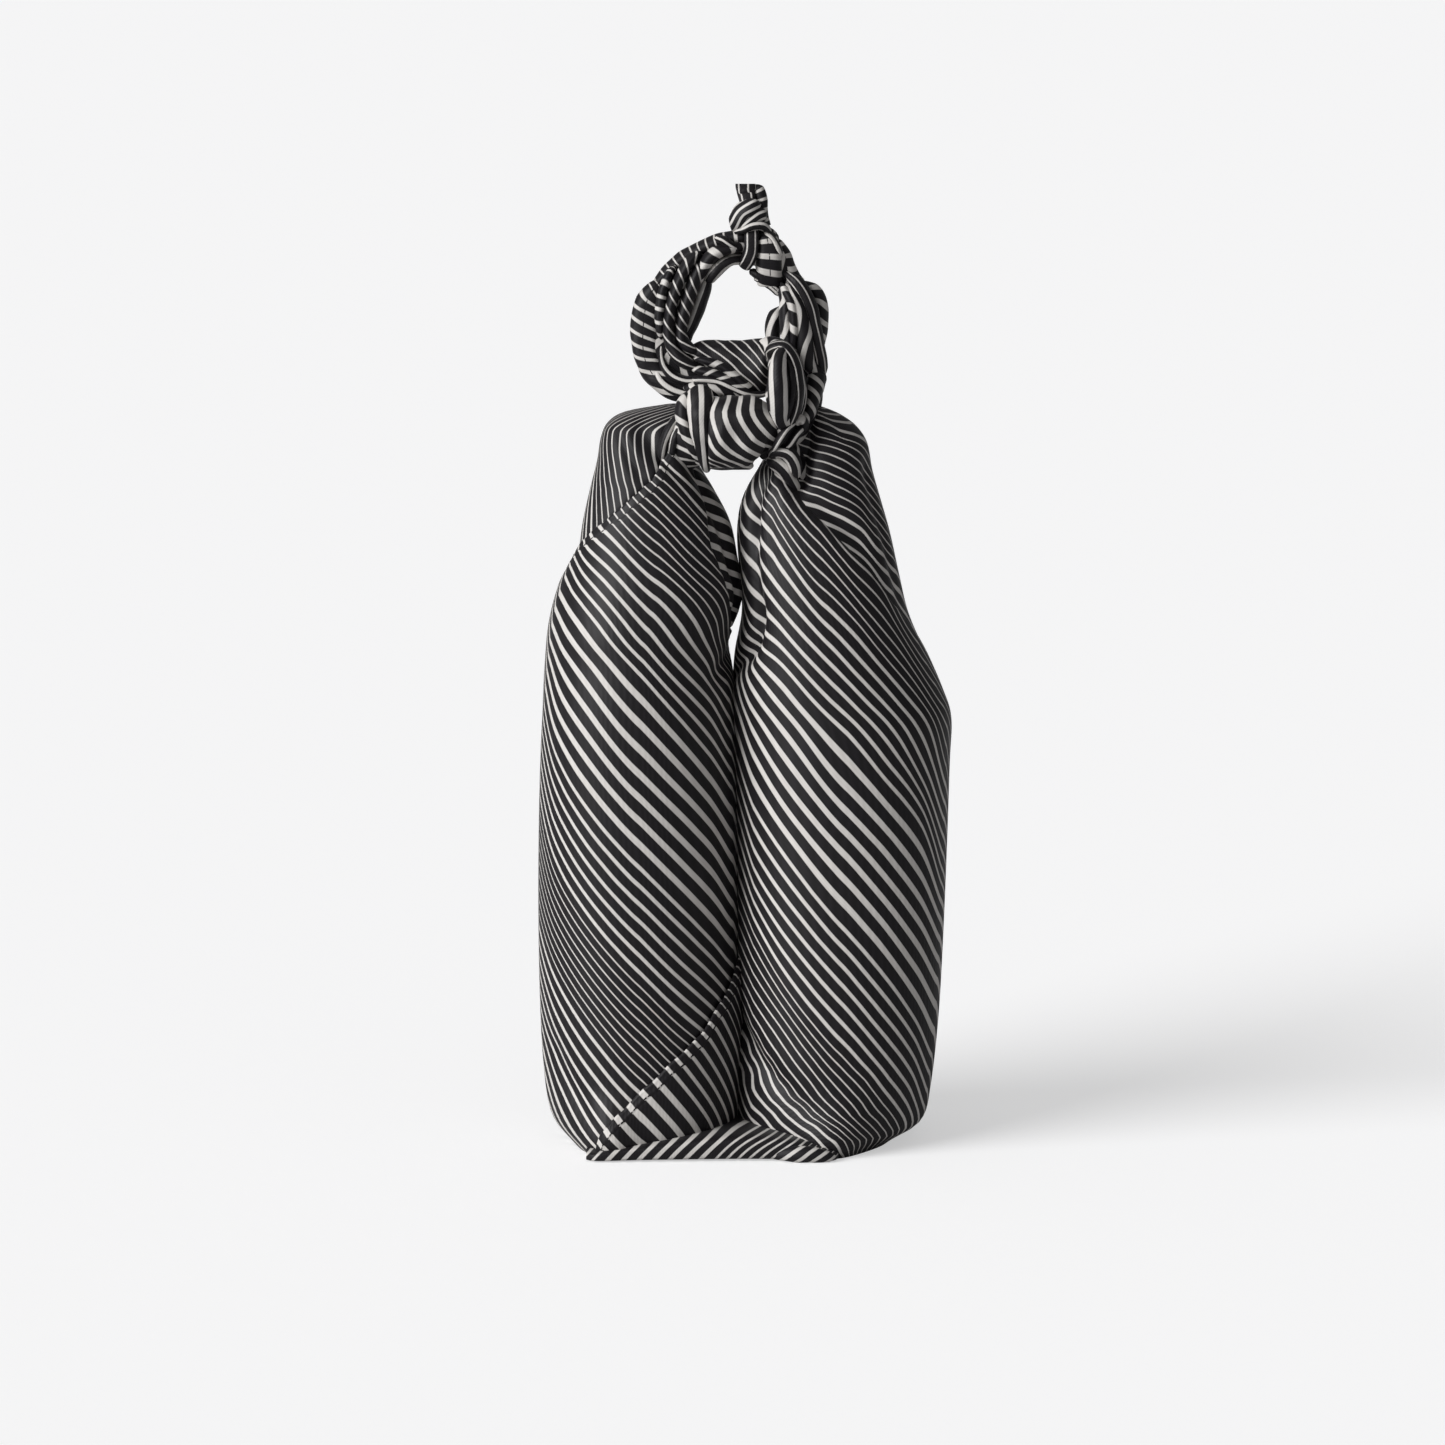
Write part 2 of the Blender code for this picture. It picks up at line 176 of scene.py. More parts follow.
clothSettings = {
    # the woven repeat across the cloth: groups of stripes, each with a count, a pitch and a white width in mm
    "groups": (
        (9, 3.37, 0.58), (7, 4.72, 1.36), (1, 0.64, -1), (7, 6.38, 2.3), (1, 0.64, -1), (7, 4.66, 1.36),
    ),
    "edgeBlur": 0.16,
    # colours between the twill's ribs and on them
    "ink": ((0.0052, 0.0044, 0.0054, 1), (0.01196, 0.01012, 0.01296, 1)),
    "white": ((0.50, 0.475, 0.455, 1), (0.62, 0.60, 0.575, 1)),
    # how much the ribs and the single threads show in the ink, the white and the relief
    "inkWeave": (0.22, 0.7),
    "whiteWeave": (0.12, 1.3),
    "reliefWeave": (0.3, 0.7),
    "roughness": 0.52,
    "specular": 0.25,
    "sheen": 0.03,
    "sheenRoughness": 0.4,
    "waverScale": 45.0,
    "waverReach": 0.5,      # mm that the stripes wander
    "twillPitch": 0.8,
    "twillSlant": (0.75, 0.66),
    "threadScale": (1.6, 0.16),
    "reliefStrength": 0.35,
    "reliefDepth": 0.2,     # mm
    "stitchFrom": 3.4,      # the hem's stitches lie this far from its edge
    "stitchWidth": 0.14,
    "stitchPitch": 2.6,
    "stitchLength": (0.36, 0.44),
    "stitchGap": 0.35,      # how dark the line stays between two stitches
    "stitchSink": 0.5,
}
repeatLength = sum(count * pitch for count, pitch, width in clothSettings["groups"])


def linkMath(tree, kind, a, b=None, c=None):
    node = tree.nodes.new("ShaderNodeMath")
    node.operation = kind
    for slot, value in zip(node.inputs, (a, b, c)):
        if value is None:
            continue
        if isinstance(value, (int, float)):
            slot.default_value = value
        else:
            tree.links.new(value, slot)
    return node.outputs[0]


def rampBetween(tree, value, low, high, toLow=0.0, toHigh=1.0, smooth=False):
    node = tree.nodes.new("ShaderNodeMapRange")
    node.interpolation_type = "SMOOTHSTEP" if smooth else "LINEAR"
    tree.links.new(value, node.inputs["Value"])
    node.inputs["From Min"].default_value = low
    node.inputs["From Max"].default_value = high
    node.inputs["To Min"].default_value = toLow
    node.inputs["To Max"].default_value = toHigh
    return node.outputs["Result"]


def splitMap(tree, name):
    # the two directions of a UV map
    chosen = tree.nodes.new("ShaderNodeUVMap")
    chosen.uv_map = name
    split = tree.nodes.new("ShaderNodeSeparateXYZ")
    tree.links.new(chosen.outputs["UV"], split.inputs[0])
    return split.outputs["X"], split.outputs["Y"]


def noiseAt(tree, where, scale, detail):
    node = tree.nodes.new("ShaderNodeTexNoise")
    node.inputs["Scale"].default_value = scale
    node.inputs["Detail"].default_value = detail
    tree.links.new(where, node.inputs["Vector"])
    return node.outputs["Fac"]


def mixColours(tree, share, first, second):
    node = tree.nodes.new("ShaderNodeMix")
    node.data_type = "RGBA"
    tree.links.new(share, node.inputs["Factor"])
    for slot, colour in ((node.inputs["A"], first), (node.inputs["B"], second)):
        if isinstance(colour, tuple):
            slot.default_value = colour
        else:
            tree.links.new(colour, slot)
    return node.outputs["Result"]


def whiteStripes(tree, across):
    # how white the cloth is at a place across it: the running count of stripes and the white share of each
    inRepeat = linkMath(tree, "FRACT", linkMath(tree, "DIVIDE", across, repeatLength))
    inRepeat = linkMath(tree, "MULTIPLY", inRepeat, repeatLength)
    counted, halfWhite, pitchHere = 0.0, 0.0, 0.0
    start = 0.0
    for count, pitch, width in clothSettings["groups"]:
        end = start + count * pitch
        counted = linkMath(tree, "ADD", counted, rampBetween(tree, inRepeat, start, end, 0.0, float(count)))
        inside = linkMath(tree, "MULTIPLY", linkMath(tree, "GREATER_THAN", inRepeat, start - 0.001),
                          linkMath(tree, "LESS_THAN", inRepeat, end))
        halfWhite = linkMath(tree, "ADD", halfWhite, linkMath(tree, "MULTIPLY", inside, width / 2))
        pitchHere = linkMath(tree, "ADD", pitchHere, linkMath(tree, "MULTIPLY", inside, pitch))
        start = end
    fromMiddle = linkMath(tree, "ABSOLUTE", linkMath(tree, "SUBTRACT", linkMath(tree, "FRACT", counted), 0.5))
    edge = linkMath(tree, "SUBTRACT", linkMath(tree, "MULTIPLY", fromMiddle, pitchHere), halfWhite)
    blur = clothSettings["edgeBlur"]
    return rampBetween(tree, edge, -blur, blur, 1.0, 0.0, smooth=True)


def hemStitches(tree):
    # a dark dotted line that breaks the white stripes
    fromEdge, alongEdge = splitMap(tree, "seam")
    fromEdge = linkMath(tree, "MULTIPLY", fromEdge, 1 / mm)
    alongEdge = linkMath(tree, "MULTIPLY", alongEdge, 1 / mm / clothSettings["stitchPitch"])
    fromStitch = linkMath(tree, "ABSOLUTE", linkMath(tree, "SUBTRACT", fromEdge, clothSettings["stitchFrom"]))
    wide = clothSettings["stitchWidth"]
    onLine = rampBetween(tree, fromStitch, wide, wide * 2, 1.0, 0.0, smooth=True)
    dash = linkMath(tree, "ABSOLUTE", linkMath(tree, "SUBTRACT", linkMath(tree, "FRACT", alongEdge), 0.5))
    short, long = clothSettings["stitchLength"]
    onDash = rampBetween(tree, dash, short, long, 1.0, clothSettings["stitchGap"], smooth=True)
    return linkMath(tree, "MULTIPLY", onLine, onDash)


def stripedSatin():
    made = bpy.data.materials.new("stripedSatin")
    made.use_nodes = True
    tree = made.node_tree
    shader = tree.nodes["Principled BSDF"]
    across, along = splitMap(tree, "cloth")
    across = linkMath(tree, "MULTIPLY", across, 1 / mm)
    along = linkMath(tree, "MULTIPLY", along, 1 / mm)

    # a little unevenness, as woven and pressed cloth has
    objectPlace = tree.nodes.new("ShaderNodeTexCoord")
    waver = noiseAt(tree, objectPlace.outputs["Object"], clothSettings["waverScale"], 2.0)
    reach = clothSettings["waverReach"]
    across = linkMath(tree, "ADD", across, linkMath(tree, "MULTIPLY_ADD", waver, reach, -reach / 2))
    white = whiteStripes(tree, across)

    # twill: fine slanting ribs, with the threads' own small differences
    slantAcross, slantAlong = clothSettings["twillSlant"]
    slanted = linkMath(tree, "ADD", linkMath(tree, "MULTIPLY", across, slantAcross),
                       linkMath(tree, "MULTIPLY", along, slantAlong))
    ribTurn = 2 * math.pi / clothSettings["twillPitch"]
    ribs = linkMath(tree, "SINE", linkMath(tree, "MULTIPLY", slanted, ribTurn))
    threadPlace = tree.nodes.new("ShaderNodeCombineXYZ")
    for way, scale, slot in zip((across, along), clothSettings["threadScale"], threadPlace.inputs):
        tree.links.new(linkMath(tree, "MULTIPLY", way, scale), slot)
    threads = noiseAt(tree, threadPlace.outputs[0], 1.0, 3.0)

    def weave(ribShare, threadShare):
        fine = linkMath(tree, "MULTIPLY", threads, threadShare)
        return linkMath(tree, "MULTIPLY_ADD", ribs, ribShare, fine)

    inkLift = rampBetween(tree, weave(*clothSettings["inkWeave"]), 0.0, 1.0)
    inkColour = mixColours(tree, inkLift, *clothSettings["ink"])
    whiteLift = rampBetween(tree, weave(*clothSettings["whiteWeave"]), 0.0, 1.0)
    whiteColour = mixColours(tree, whiteLift, *clothSettings["white"])
    stitch = hemStitches(tree)
    white = linkMath(tree, "MULTIPLY", white, linkMath(tree, "SUBTRACT", 1.0, stitch))
    tree.links.new(mixColours(tree, white, inkColour, whiteColour), shader.inputs["Base Color"])

    sunk = linkMath(tree, "MULTIPLY", stitch, clothSettings["stitchSink"])
    relief = linkMath(tree, "SUBTRACT", weave(*clothSettings["reliefWeave"]), sunk)
    bump = tree.nodes.new("ShaderNodeBump")
    bump.inputs["Strength"].default_value = clothSettings["reliefStrength"]
    bump.inputs["Distance"].default_value = clothSettings["reliefDepth"] * mm
    tree.links.new(relief, bump.inputs["Height"])
    tree.links.new(bump.outputs["Normal"], shader.inputs["Normal"])
    shader.inputs["Roughness"].default_value = clothSettings["roughness"]
    shader.inputs["Sheen Weight"].default_value = clothSettings["sheen"]
    shader.inputs["Sheen Roughness"].default_value = clothSettings["sheenRoughness"]
    shader.inputs["Specular IOR Level"].default_value = clothSettings["specular"]
    return made


satin = stripedSatin()
print("cloth material made")


# the two bundles
# Bearings go round a bundle in degrees: 0 is +X, 90 the back, 180 is -X and 270 the front

# level cuts: height, left, right, front, back and how square the corners are. Most of the left and right
# reaches were worked out by a separate program, and some were changed by hand
leftSections = (
    (-2.5, -68, -13, -37, 37, 2.4), (2, -73.5, -9, -40, 40, 2.3), (12, -81.2, -4.2, -43, 43, 2.2),
    (32, -84.2, -3.2, -43.5, 43.5, 2.1), (62, -85.6, -3.1, -43.5, 43.5, 2.1),
    (102, -86, -3.1, -43.5, 43.5, 2.1), (144, -85.4, -3.5, -43.5, 43, 2.1),
    (176, -84.2, -4.3, -43, 42, 2.1), (192, -82.8, -5, -42, 41, 2.1), (206, -80.6, -5.8, -40.5, 39, 2.1),
    (216, -78.8, -5.4, -39.5, 37.6, 2.2), (226, -76.4, -2, -38.1, 36.1, 2.2),
    (235, -73.7, -0.4, -36.5, 34.5, 2.2), (246, -70, -2.6, -34, 32, 2.2), (262, -67.6, -5.9, -31, 28, 2.2),
    (276, -64.5, -12.9, -28, 25, 2.2), (288, -61.5, -20, -25.5, 22.5, 2.3),
    (298, -59.8, -23, -22.5, 20, 2.5), (304, -56.8, -22.5, -19, 17, 2.6), (308, -50, -21.5, -14, 13, 2.4),
    (311, -34, -22, -7, 7, 2),
)
rightSections = (
    (-2.5, 7, 57, -32, 34, 2.3), (3, 1.5, 65, -36.5, 38, 2.2), (10, -2.4, 75.4, -41, 41.5, 2.2),
    (24, -3, 78.8, -43.5, 43.5, 2.1), (50, -3, 81.6, -43.5, 43.5, 2.1), (80, -3, 83.3, -43.5, 43.5, 2.1),
    (124, -3, 84.9, -43.5, 43.5, 2.1), (162, -3.8, 85.9, -43.5, 43, 2.1), (180, -4.4, 86.1, -43, 42, 2.1),
    (192, -4.8, 82.3, -42, 41, 2.1), (208, -3.1, 75.4, -40.5, 39, 2.1), (224, -0.1, 68.6, -39, 37, 2.2),
    (240, -0.8, 64.7, -36.5, 34, 2.2), (258, -1.6, 60.7, -33, 30, 2.2), (272, 0.1, 56.7, -30, 27, 2.3),
    (284, 5.4, 53.3, -27, 24.5, 2.4), (295, 12, 51.2, -23, 21, 2.5), (302, 16, 46.8, -17.5, 16, 2.4),
    (307, 19, 40, -12, 12, 2.2), (310, 22, 33, -6, 7, 2),
)

# soft creases: bearing and height of each end, width and depth
leftCreases = (
    (322, 282, 345, 224, 4, 2.6), (354, 208, 334, 203, 6, 2.6), (262, 304, 290, 288, 3, 2.4),
    (240, 300, 262, 286, 2.5, 1.6), (20, 230, 60, 150, 6, 1.8), (95, 250, 130, 170, 6, 2.2),
    (60, 60, 120, 20, 6, 1.8), (215, 40, 245, 8, 5, 1.6),
)
rightCreases = (
    (253, 302, 256, 283, 3.5, 5), (257, 281, 302, 258, 5, 5), (219, 292, 216, 262, 4, 2.8),
    (216, 262, 216, 224, 4, 2.8), (216, 224, 210, 211, 4, 2.8), (210, 211, 188, 200, 4.5, 2.6),
    (240, 284, 238, 250, 2.6, 0.6), (330, 282, 338, 236, 3.5, 1.5), (190, 56, 268, 14, 5, 2.6),
    (80, 260, 50, 180, 6, 2.4), (120, 70, 60, 22, 6, 2),
)
# corners that the flattened roll pulls the feet out to: x, way, reach, spread and height
leftPulls = ((-60, -1, 11, 12, 30), (-44, 1, 9, 15, 26))
rightPulls = ((37, -1, 10, 13, 30), (58, 1, 9, 13, 26))


def denseSections(sections):
    # the heights of the level cuts with more between each two, and the cuts themselves
    steps = stepsPerCut * (len(sections) - 1)
    rows = [curveThrough(sections, k / stepsPerCut) for k in range(steps + 1)]
    return [row[0] for row in rows], rows


def sectionAt(dense, z):
    heights, rows = dense
    k = min(max(bisect.bisect_right(heights, z), 1), len(rows) - 1)
    low, high = rows[k - 1], rows[k]
    share = min(max((z - low[0]) / (high[0] - low[0]), 0), 1)
    return [a + share * (b - a) for a, b in zip(low, high)]


def creaseDepth(creases, bearing, z, radius):
    depth = 0.0
    perDegree = math.radians(1) * radius
    for fromBearing, fromZ, toBearing, toZ, width, deep in creases:
        across = (toBearing - fromBearing) * perDegree
        rise = toZ - fromZ
        length = math.hypot(across, rise)
        side = ((bearing - fromBearing + 180) % 360 - 180) * perDegree
        up = z - fromZ
        away = (side * rise - up * across) / length
        if abs(away) > 3 * width:       # too far off to matter
            continue
        run = (side * across + up * rise) / length
        beyond = max(-run, run - length, 0)
        if beyond > 5 * width:
            continue
        depth += deep * math.exp(-((beyond / (2 * width)) ** 2) - (away / width) ** 2)
    return depth


def bundlePoint(bundle, bearing, z, standOff):
    # a place on a bundle, or so far outside it
    left, right, front, back, square = sectionAt(bundle["dense"], z)[1:]
    halfX, halfY = (right - left) / 2, (back - front) / 2
    outX = squarer(math.cos(math.radians(bearing)), 2 / square)
    outY = squarer(math.sin(math.radians(bearing)), 2 / square)
    move = standOff - creaseDepth(bundle["creases"], bearing, z, halfX)
    x = (left + right) / 2 + outX * (halfX + move)
    y = (front + back) / 2 + outY * (halfY + move)
    for pullX, way, reach, spread, height in bundle["pulls"]:
        near = max(way * outY, 0) * math.exp(-(((x - pullX) / spread) ** 2))
        y += way * reach * near * (1 - smoothStep(z / height))
    return x, y, z


# The stripes' course on the bundles: where the borders of the stripe groups cross each bearing, as the place
# on the flat cloth and then a height for each bearing. The numbers in leftBands, rightBands and rightSwept
# were solved by a separate program and not chosen by hand
leftBearings = (190, 215, 240, 265, 290, 315, 340)
leftBands = (
    (84, 0.3, -23.4, -43.8, -59.2, -71.3, -85, -99.8), (100, 30.3, 6.3, -18.5, -34, -47.4, -61.3, -76.5),
    (120, 62.3, 41, 18.7, -0.4, -16.3, -31.7, -46.2), (142, 95, 77.3, 57.1, 35.9, 16.7, 0.9, -13.7),
    (166, 133.5, 111.9, 91.8, 71.4, 51.5, 36.3, 21.9), (190, 169.6, 148.1, 127.5, 107.4, 87.4, 70.6, 57),
    (206, 190.1, 172.1, 153.1, 133.2, 113.4, 95.2, 80.6),
    (228, 213.3, 201.6, 187.2, 166.9, 147.4, 129.5, 111.5),
    (251, 237.4, 230.8, 219.9, 203.9, 184.2, 164.8, 147.9),
    (268, 257.2, 249.2, 240.1, 226, 209.3, 193.2, 174.4),
    (284, 277.3, 269.8, 262, 247.9, 233.3, 217.4, 199.8),
    (300, 297.8, 291.2, 284.5, 272.7, 254.9, 241, 223.2),
    (316, 318.5, 312.4, 306, 295.7, 283.3, 263.8, 248.9),
    (333, 336.2, 329.5, 322.1, 313.5, 306.6, 302.7, 287.5),
)
rightBearings = (195, 215, 240, 265, 290, 315, 340)
rightBands = (
    (126, 26.1, 14, 0.1, -14.5, -30.8, -49.1, -68.7), (142, 54, 42.8, 25, 8.5, -9.9, -28.9, -47.4),
    (158, 82.1, 70.9, 53.1, 31.1, 10.1, -7.6, -26.7), (172, 109, 94.6, 73.1, 51.4, 29.9, 10.7, -8.1),
    (190, 141, 121.7, 102.2, 80.8, 57.7, 37.2, 17.2), (206, 169.8, 151.7, 131.1, 107.9, 85, 62.3, 42.9),
    (222, 198.1, 179.5, 156.8, 134, 110.7, 88.7, 69.8), (240, 212, 203.4, 186.9, 161.2, 138.8, 116.8, 94.8),
    (256, 229, 218.2, 210.5, 190.1, 165, 142.6, 114.1), (270, 258, 249.1, 233.9, 215.9, 190.9, 161.6, 135),
    (284, 286, 273.9, 262.9, 240.1, 219.9, 191.7, 158.4),
    (300, 309, 290, 281.4, 268.9, 248.3, 230.6, 197.6),
    (316, 328, 309.2, 289.8, 282.5, 277.6, 263.1, 241.6),
)
# how far the right bundle's stripes are swept aside near its front foot: bearing, then one place per height
sweptHeights = (0, 6, 12, 18, 25, 33, 42, 54, 68)
rightSwept = (
    (150, 0, 0, 0, 0, 0, 0, 0, 0, 0), (180, -2, -2.7, -3.6, -4.5, -5.1, -4.9, -4.3, -2.6, 0),
    (192, -3.6, -3.5, -3.5, -3.7, -4.3, -5.3, -4.6, -2.2, 0),
    (204, -5.1, -4.5, -3.7, -3, -3, -6.3, -4.3, -1, 0),
    (214, -6.2, -5.5, -4.4, -2.6, -2.3, -6.1, -1.4, 0.3, 0),
    (224, -6.9, -6.2, -5.3, -3.5, -2.2, -1.9, 0.9, 0, 0),
    (234, -7.5, -5.6, -4.5, -4.2, -0.8, 1.2, 0.3, -0.2, 0),
    (246, -8.5, -6.6, -5.2, -2.8, 1.4, 0.7, 0.4, 0, 0), (258, -9.3, -8.3, -5.3, 0.1, 1, 0.1, -0.2, -0.1, 0),
    (270, -8.8, -6.6, -3.1, -0.2, 0.3, -0.3, -0.3, 0.1, 0),
    (285, -8, -4.8, -0.9, 0.3, -0.8, -0.9, -0.1, 0, 0), (300, -2.4, -2.4, -0.2, -0.4, -0.3, 0, 0, 0, 0),
    (325, 0, 0, 0, 0, 0, 0, 0, 0, 0),
)
twistPerDegree = 0.53   # mm across the flat cloth for each degree, past the tables' own bearings


def bandColumn(bands, bearings, bearing):
    # (heights, flat places) of every band border at one bearing
    if bearing < bearings[1]:
        at = max((bearing - bearings[0]) / (bearings[1] - bearings[0]), 0)
    else:
        at = min(1 + (bearing - bearings[1]) / (bearings[2] - bearings[1]), len(bearings) - 1)
    heights = [curveThrough([(h,) for h in band[1:]], at)[0] for band in bands]
    drift = twistPerDegree * (bearing - min(max(bearing, bearings[0]), bearings[-1]))
    return heights, [band[0] + drift for band in bands]


def flatAcross(column, z):
    # the place across the flat cloth at a height, on a smooth curve through one column's borders
    heights, flats = column
    k = min(max(bisect.bisect_right(heights, z) - 1, 0), len(heights) - 2)
    rise = heights[k + 1] - heights[k]
    step = flats[k + 1] - flats[k]
    share = (z - heights[k]) / rise
    if share < 0 or share > 1:
        return flats[k] + share * step

    def slope(n):
        a, b = max(n - 1, 0), min(n + 1, len(heights) - 1)
        return (flats[b] - flats[a]) / (heights[b] - heights[a])

    s0, s1 = slope(k) * rise, slope(k + 1) * rise
    return flats[k] + share * (s0 + share * (3 * step - 2 * s0 - s1 + share * (s0 + s1 - 2 * step)))


# the wound edge on the left bundle: bearing, height, how far it stands off. Most bearings and heights here
# and in the next two tables were worked out by a separate program from marked points
leftHem = (
    (-124, 2, 1.2), (-111, 12, 1.3), (-100, 19.4, 1.4), (-85, 31.3, 1.5), (-70, 41.6, 1.5),
    (-55, 50.2, 1.5), (-39, 62.5, 1.5), (-10, 82, 1.5), (40, 117, 1.8), (90, 158, 3.5), (135, 204, 5),
    (165, 236, 4), (190, 249.5, 2.8), (206, 256, 2.2), (226, 263, 1.8), (243, 269.6, 1.7),
    (258, 275.8, 1.7), (271, 281, 1.7), (280, 285.6, 1.7), (290, 290.4, 1.6), (304, 297.5, 1.5),
    (340, 305, 1.4), (400, 309, 1.2),
)
# where the left bundle's cloth folds under on its inner side: height, bearing
leftEnds = (
    (0, 400), (203, 400), (212, 374), (220, 346), (225.4, 334), (232, 327), (238.5, 323), (247, 318.6),
    (251.3, 314.5), (255.5, 312), (262.8, 312.4), (269.6, 317), (275.2, 324), (280.5, 328), (287, 330),
    (400, 330),
)
# the right bundle's edge: it climbs at the back, then folds over across the front shoulder
rightHem = (
    (20, 2, 0.8), (58, 44, 1.5), (95, 95, 1.8), (130, 150, 1.6), (160, 215, 0.4), (180, 262, 0.3),
    (196, 288, 0.4), (213, 290.5, 0.4), (225, 288.5, 0.4), (240, 282.5, 0.4), (253, 277.2, 0.4),
    (260, 274, 0.4), (268, 269.7, 0.4), (275, 265.5, 0.4), (282, 261.2, 0.4), (290, 256.4, 0.4),
    (297, 252.2, 0.4), (304, 247.5, 0.4), (310, 242.8, 0.4), (317, 237.5, 0.4), (325, 231.8, 0.4),
    (334, 227, 0.4), (343, 222, 0.4), (356, 211, 0.6), (390, 168, 0.8), (430, 125, 0.8), (470, 80, 0.6),
    (500, 40, 0.4), (520, 12, 0.2),
)

leftBundle = {"dense": denseSections(leftSections), "creases": leftCreases, "pulls": leftPulls,
              "hem": leftHem, "ends": leftEnds}
rightBundle = {"dense": denseSections(rightSections), "creases": rightCreases, "pulls": rightPulls,
               "hem": rightHem, "ends": None}


# the outer layers

wrapSettings = {
    "columns": 300,
    "rows": 150,
    "thickness": 0.9,
    "rowCrowding": 1.5,     # how closely the rows gather at the hem
    "floorGap": 0.3,
    "endsFrom": 290,        # past this bearing the columns draw in to the line where the cloth folds under
    "endsHeight": 310,      # and the hem's own marks are read at the bearings of this height
    "hemWidth": 3.9,
    "hemRise": 0.45,
    "hemShift": 0.35,       # how far the stripes are set off on the hem
    "hemFade": 12,          # degrees over which the hem ends
    "lip": (0.35, 0.2),     # width of the hem's round lip, and the share of its rise at the very edge
    "groove": (0.5, 0.9, 0.1),      # the step inside the hem: before and after its middle, and how deep
    "alongCloth": (0.7, -0.5),      # the way along the cloth for each mm down and each degree
    "alongHem": 0.75,
    "lipBend": 6,
    "outerTurn": (1.5, 120),        # how far the outer turn stands off, and the degrees over which that ends
}


def hemProfile(s):
    # how far the folded hem stands up at a distance from its edge
    width, rise = wrapSettings["hemWidth"], wrapSettings["hemRise"]
    lip, low = wrapSettings["lip"]
    before, after, deep = wrapSettings["groove"]
    if s < lip:
        return rise * math.sqrt(max(s, 0) / lip) * (1 - low) + rise * low
    if s < width - before:
        return rise
    if s < width + after:
        away = (s - width) / before
        return rise * (1 - easeFrom(s, width - before, before + after)) - deep * math.exp(-away * away)
    return 0.0


def edgeStandOff(settings, bearing, s, edge):
    # how far the cloth lies off its bundle: more just under a wound edge, less at the edge itself
    low = settings["lipShare"]
    lift = edge[1] * (low + (1 - low) * smoothStep(s / wrapSettings["lipBend"]))
    outer, until = wrapSettings["outerTurn"]
    return lift * (1 - easeFrom(s, *settings["liftFade"])) + outer * (1 - smoothStep(bearing / until))


def wrapSheet(name, bundle, settings, flatOf, standOffOf):
    columns, rows = wrapSettings["columns"], wrapSettings["rows"]
    endsFrom = wrapSettings["endsFrom"]
    fromBearing, toBearing = settings["bearings"]
    hemUntil = settings["hemUntil"]
    perDown, perDegree = wrapSettings["alongCloth"]
    bearings = [fromBearing + (toBearing - fromBearing) * i / columns for i in range(columns + 1)]

    def turned(i, z):
        # a column's bearing at one height
        b = bearings[i]
        if bundle["ends"] is None or b <= endsFrom:
            return b
        end = alongMarks(bundle["ends"], z)[0]
        return endsFrom + (b - endsFrom) * (end - endsFrom) / (toBearing - endsFrom)

    edges = [alongMarks(bundle["hem"], turned(i, wrapSettings["endsHeight"])) for i in range(columns + 1)]
    columnsOf = {}

    def spotOf(i, j):
        # distance below the edge, height and bearing
        s = (edges[i][0] - wrapSettings["floorGap"]) * (j / rows) ** wrapSettings["rowCrowding"]
        z = edges[i][0] - s
        return s, z, turned(i, z)

    def place(i, j):
        s, z, b = spotOf(i, j)
        hemmed = hemProfile(s) * (1 - easeFrom(b, hemUntil, wrapSettings["hemFade"]))
        return bundlePoint(bundle, b, z, standOffOf(b, s, edges[i]) + hemmed)

    def flat(i, j):
        s, z, b = spotOf(i, j)
        if b not in columnsOf:
            columnsOf[b] = flatOf(b)
        u = columnsOf[b](z)
        if s < wrapSettings["hemWidth"] and b < hemUntil:
            u += wrapSettings["hemShift"]
        return u * mm, (s * perDown + b * perDegree) * mm

    def sewn(i, j):
        s, z, b = spotOf(i, j)
        return (s if b < hemUntil else farFromHem) * mm, b * wrapSettings["alongHem"] * mm

    mesh = gridPiece(columns, rows, place, flat, sewn)
    faceOutward(mesh, (settings["middleX"] * mm, 0, 0))
    made = finishPiece(name, mesh)
    thick = made.modifiers.new("clothThickness", "SOLIDIFY")
    thick.thickness = wrapSettings["thickness"] * mm
    thick.offset = -1
    return made


leftWrapSettings = {
    "bearings": (-124, 400),
    "middleX": -45,
    "hemUntil": 330,
    "lipShare": 0.35,
    "liftFade": (12, 55),
    # where the stripes' even winding starts: place on the flat cloth, bearing, height
    "winding": (-36.2, -78, 31),
    "tableFrom": (140, 50),         # where the table of borders takes over, and within how many degrees
    "foldUnder": (2.2, 3.2, 0.7),   # how far in the end folds, over what width, and mm for each degree
    "foldUnderFades": (332, 14, 0.8),
}


def leftFlat(bearing):
    column = bandColumn(leftBands, leftBearings, bearing)
    tabled = easeFrom(bearing, *leftWrapSettings["tableFrom"])
    start, fromBearing, fromHeight = leftWrapSettings["winding"]

    def at(z):
        wound = start + twistPerDegree * (bearing - fromBearing + z - fromHeight)
        return wound + tabled * (flatAcross(column, z) - wound) if tabled > 0 else wound
    return at


def leftStandOff(bearing, s, edge):
    deep, wide, perDegree = leftWrapSettings["foldUnder"]
    fadeFrom, fadeOver, fade = leftWrapSettings["foldUnderFades"]
    toFold = (alongMarks(leftEnds, edge[0] - s)[0] - bearing) * perDegree
    folded = deep * max(0.0, 1 - toFold / wide) ** 2 * (1 - fade * easeFrom(bearing, fadeFrom, fadeOver))
    return edgeStandOff(leftWrapSettings, bearing, s, edge) - folded


leftWrap = wrapSheet("leftWrap", leftBundle, leftWrapSettings, leftFlat, leftStandOff)
print("left wrap made")


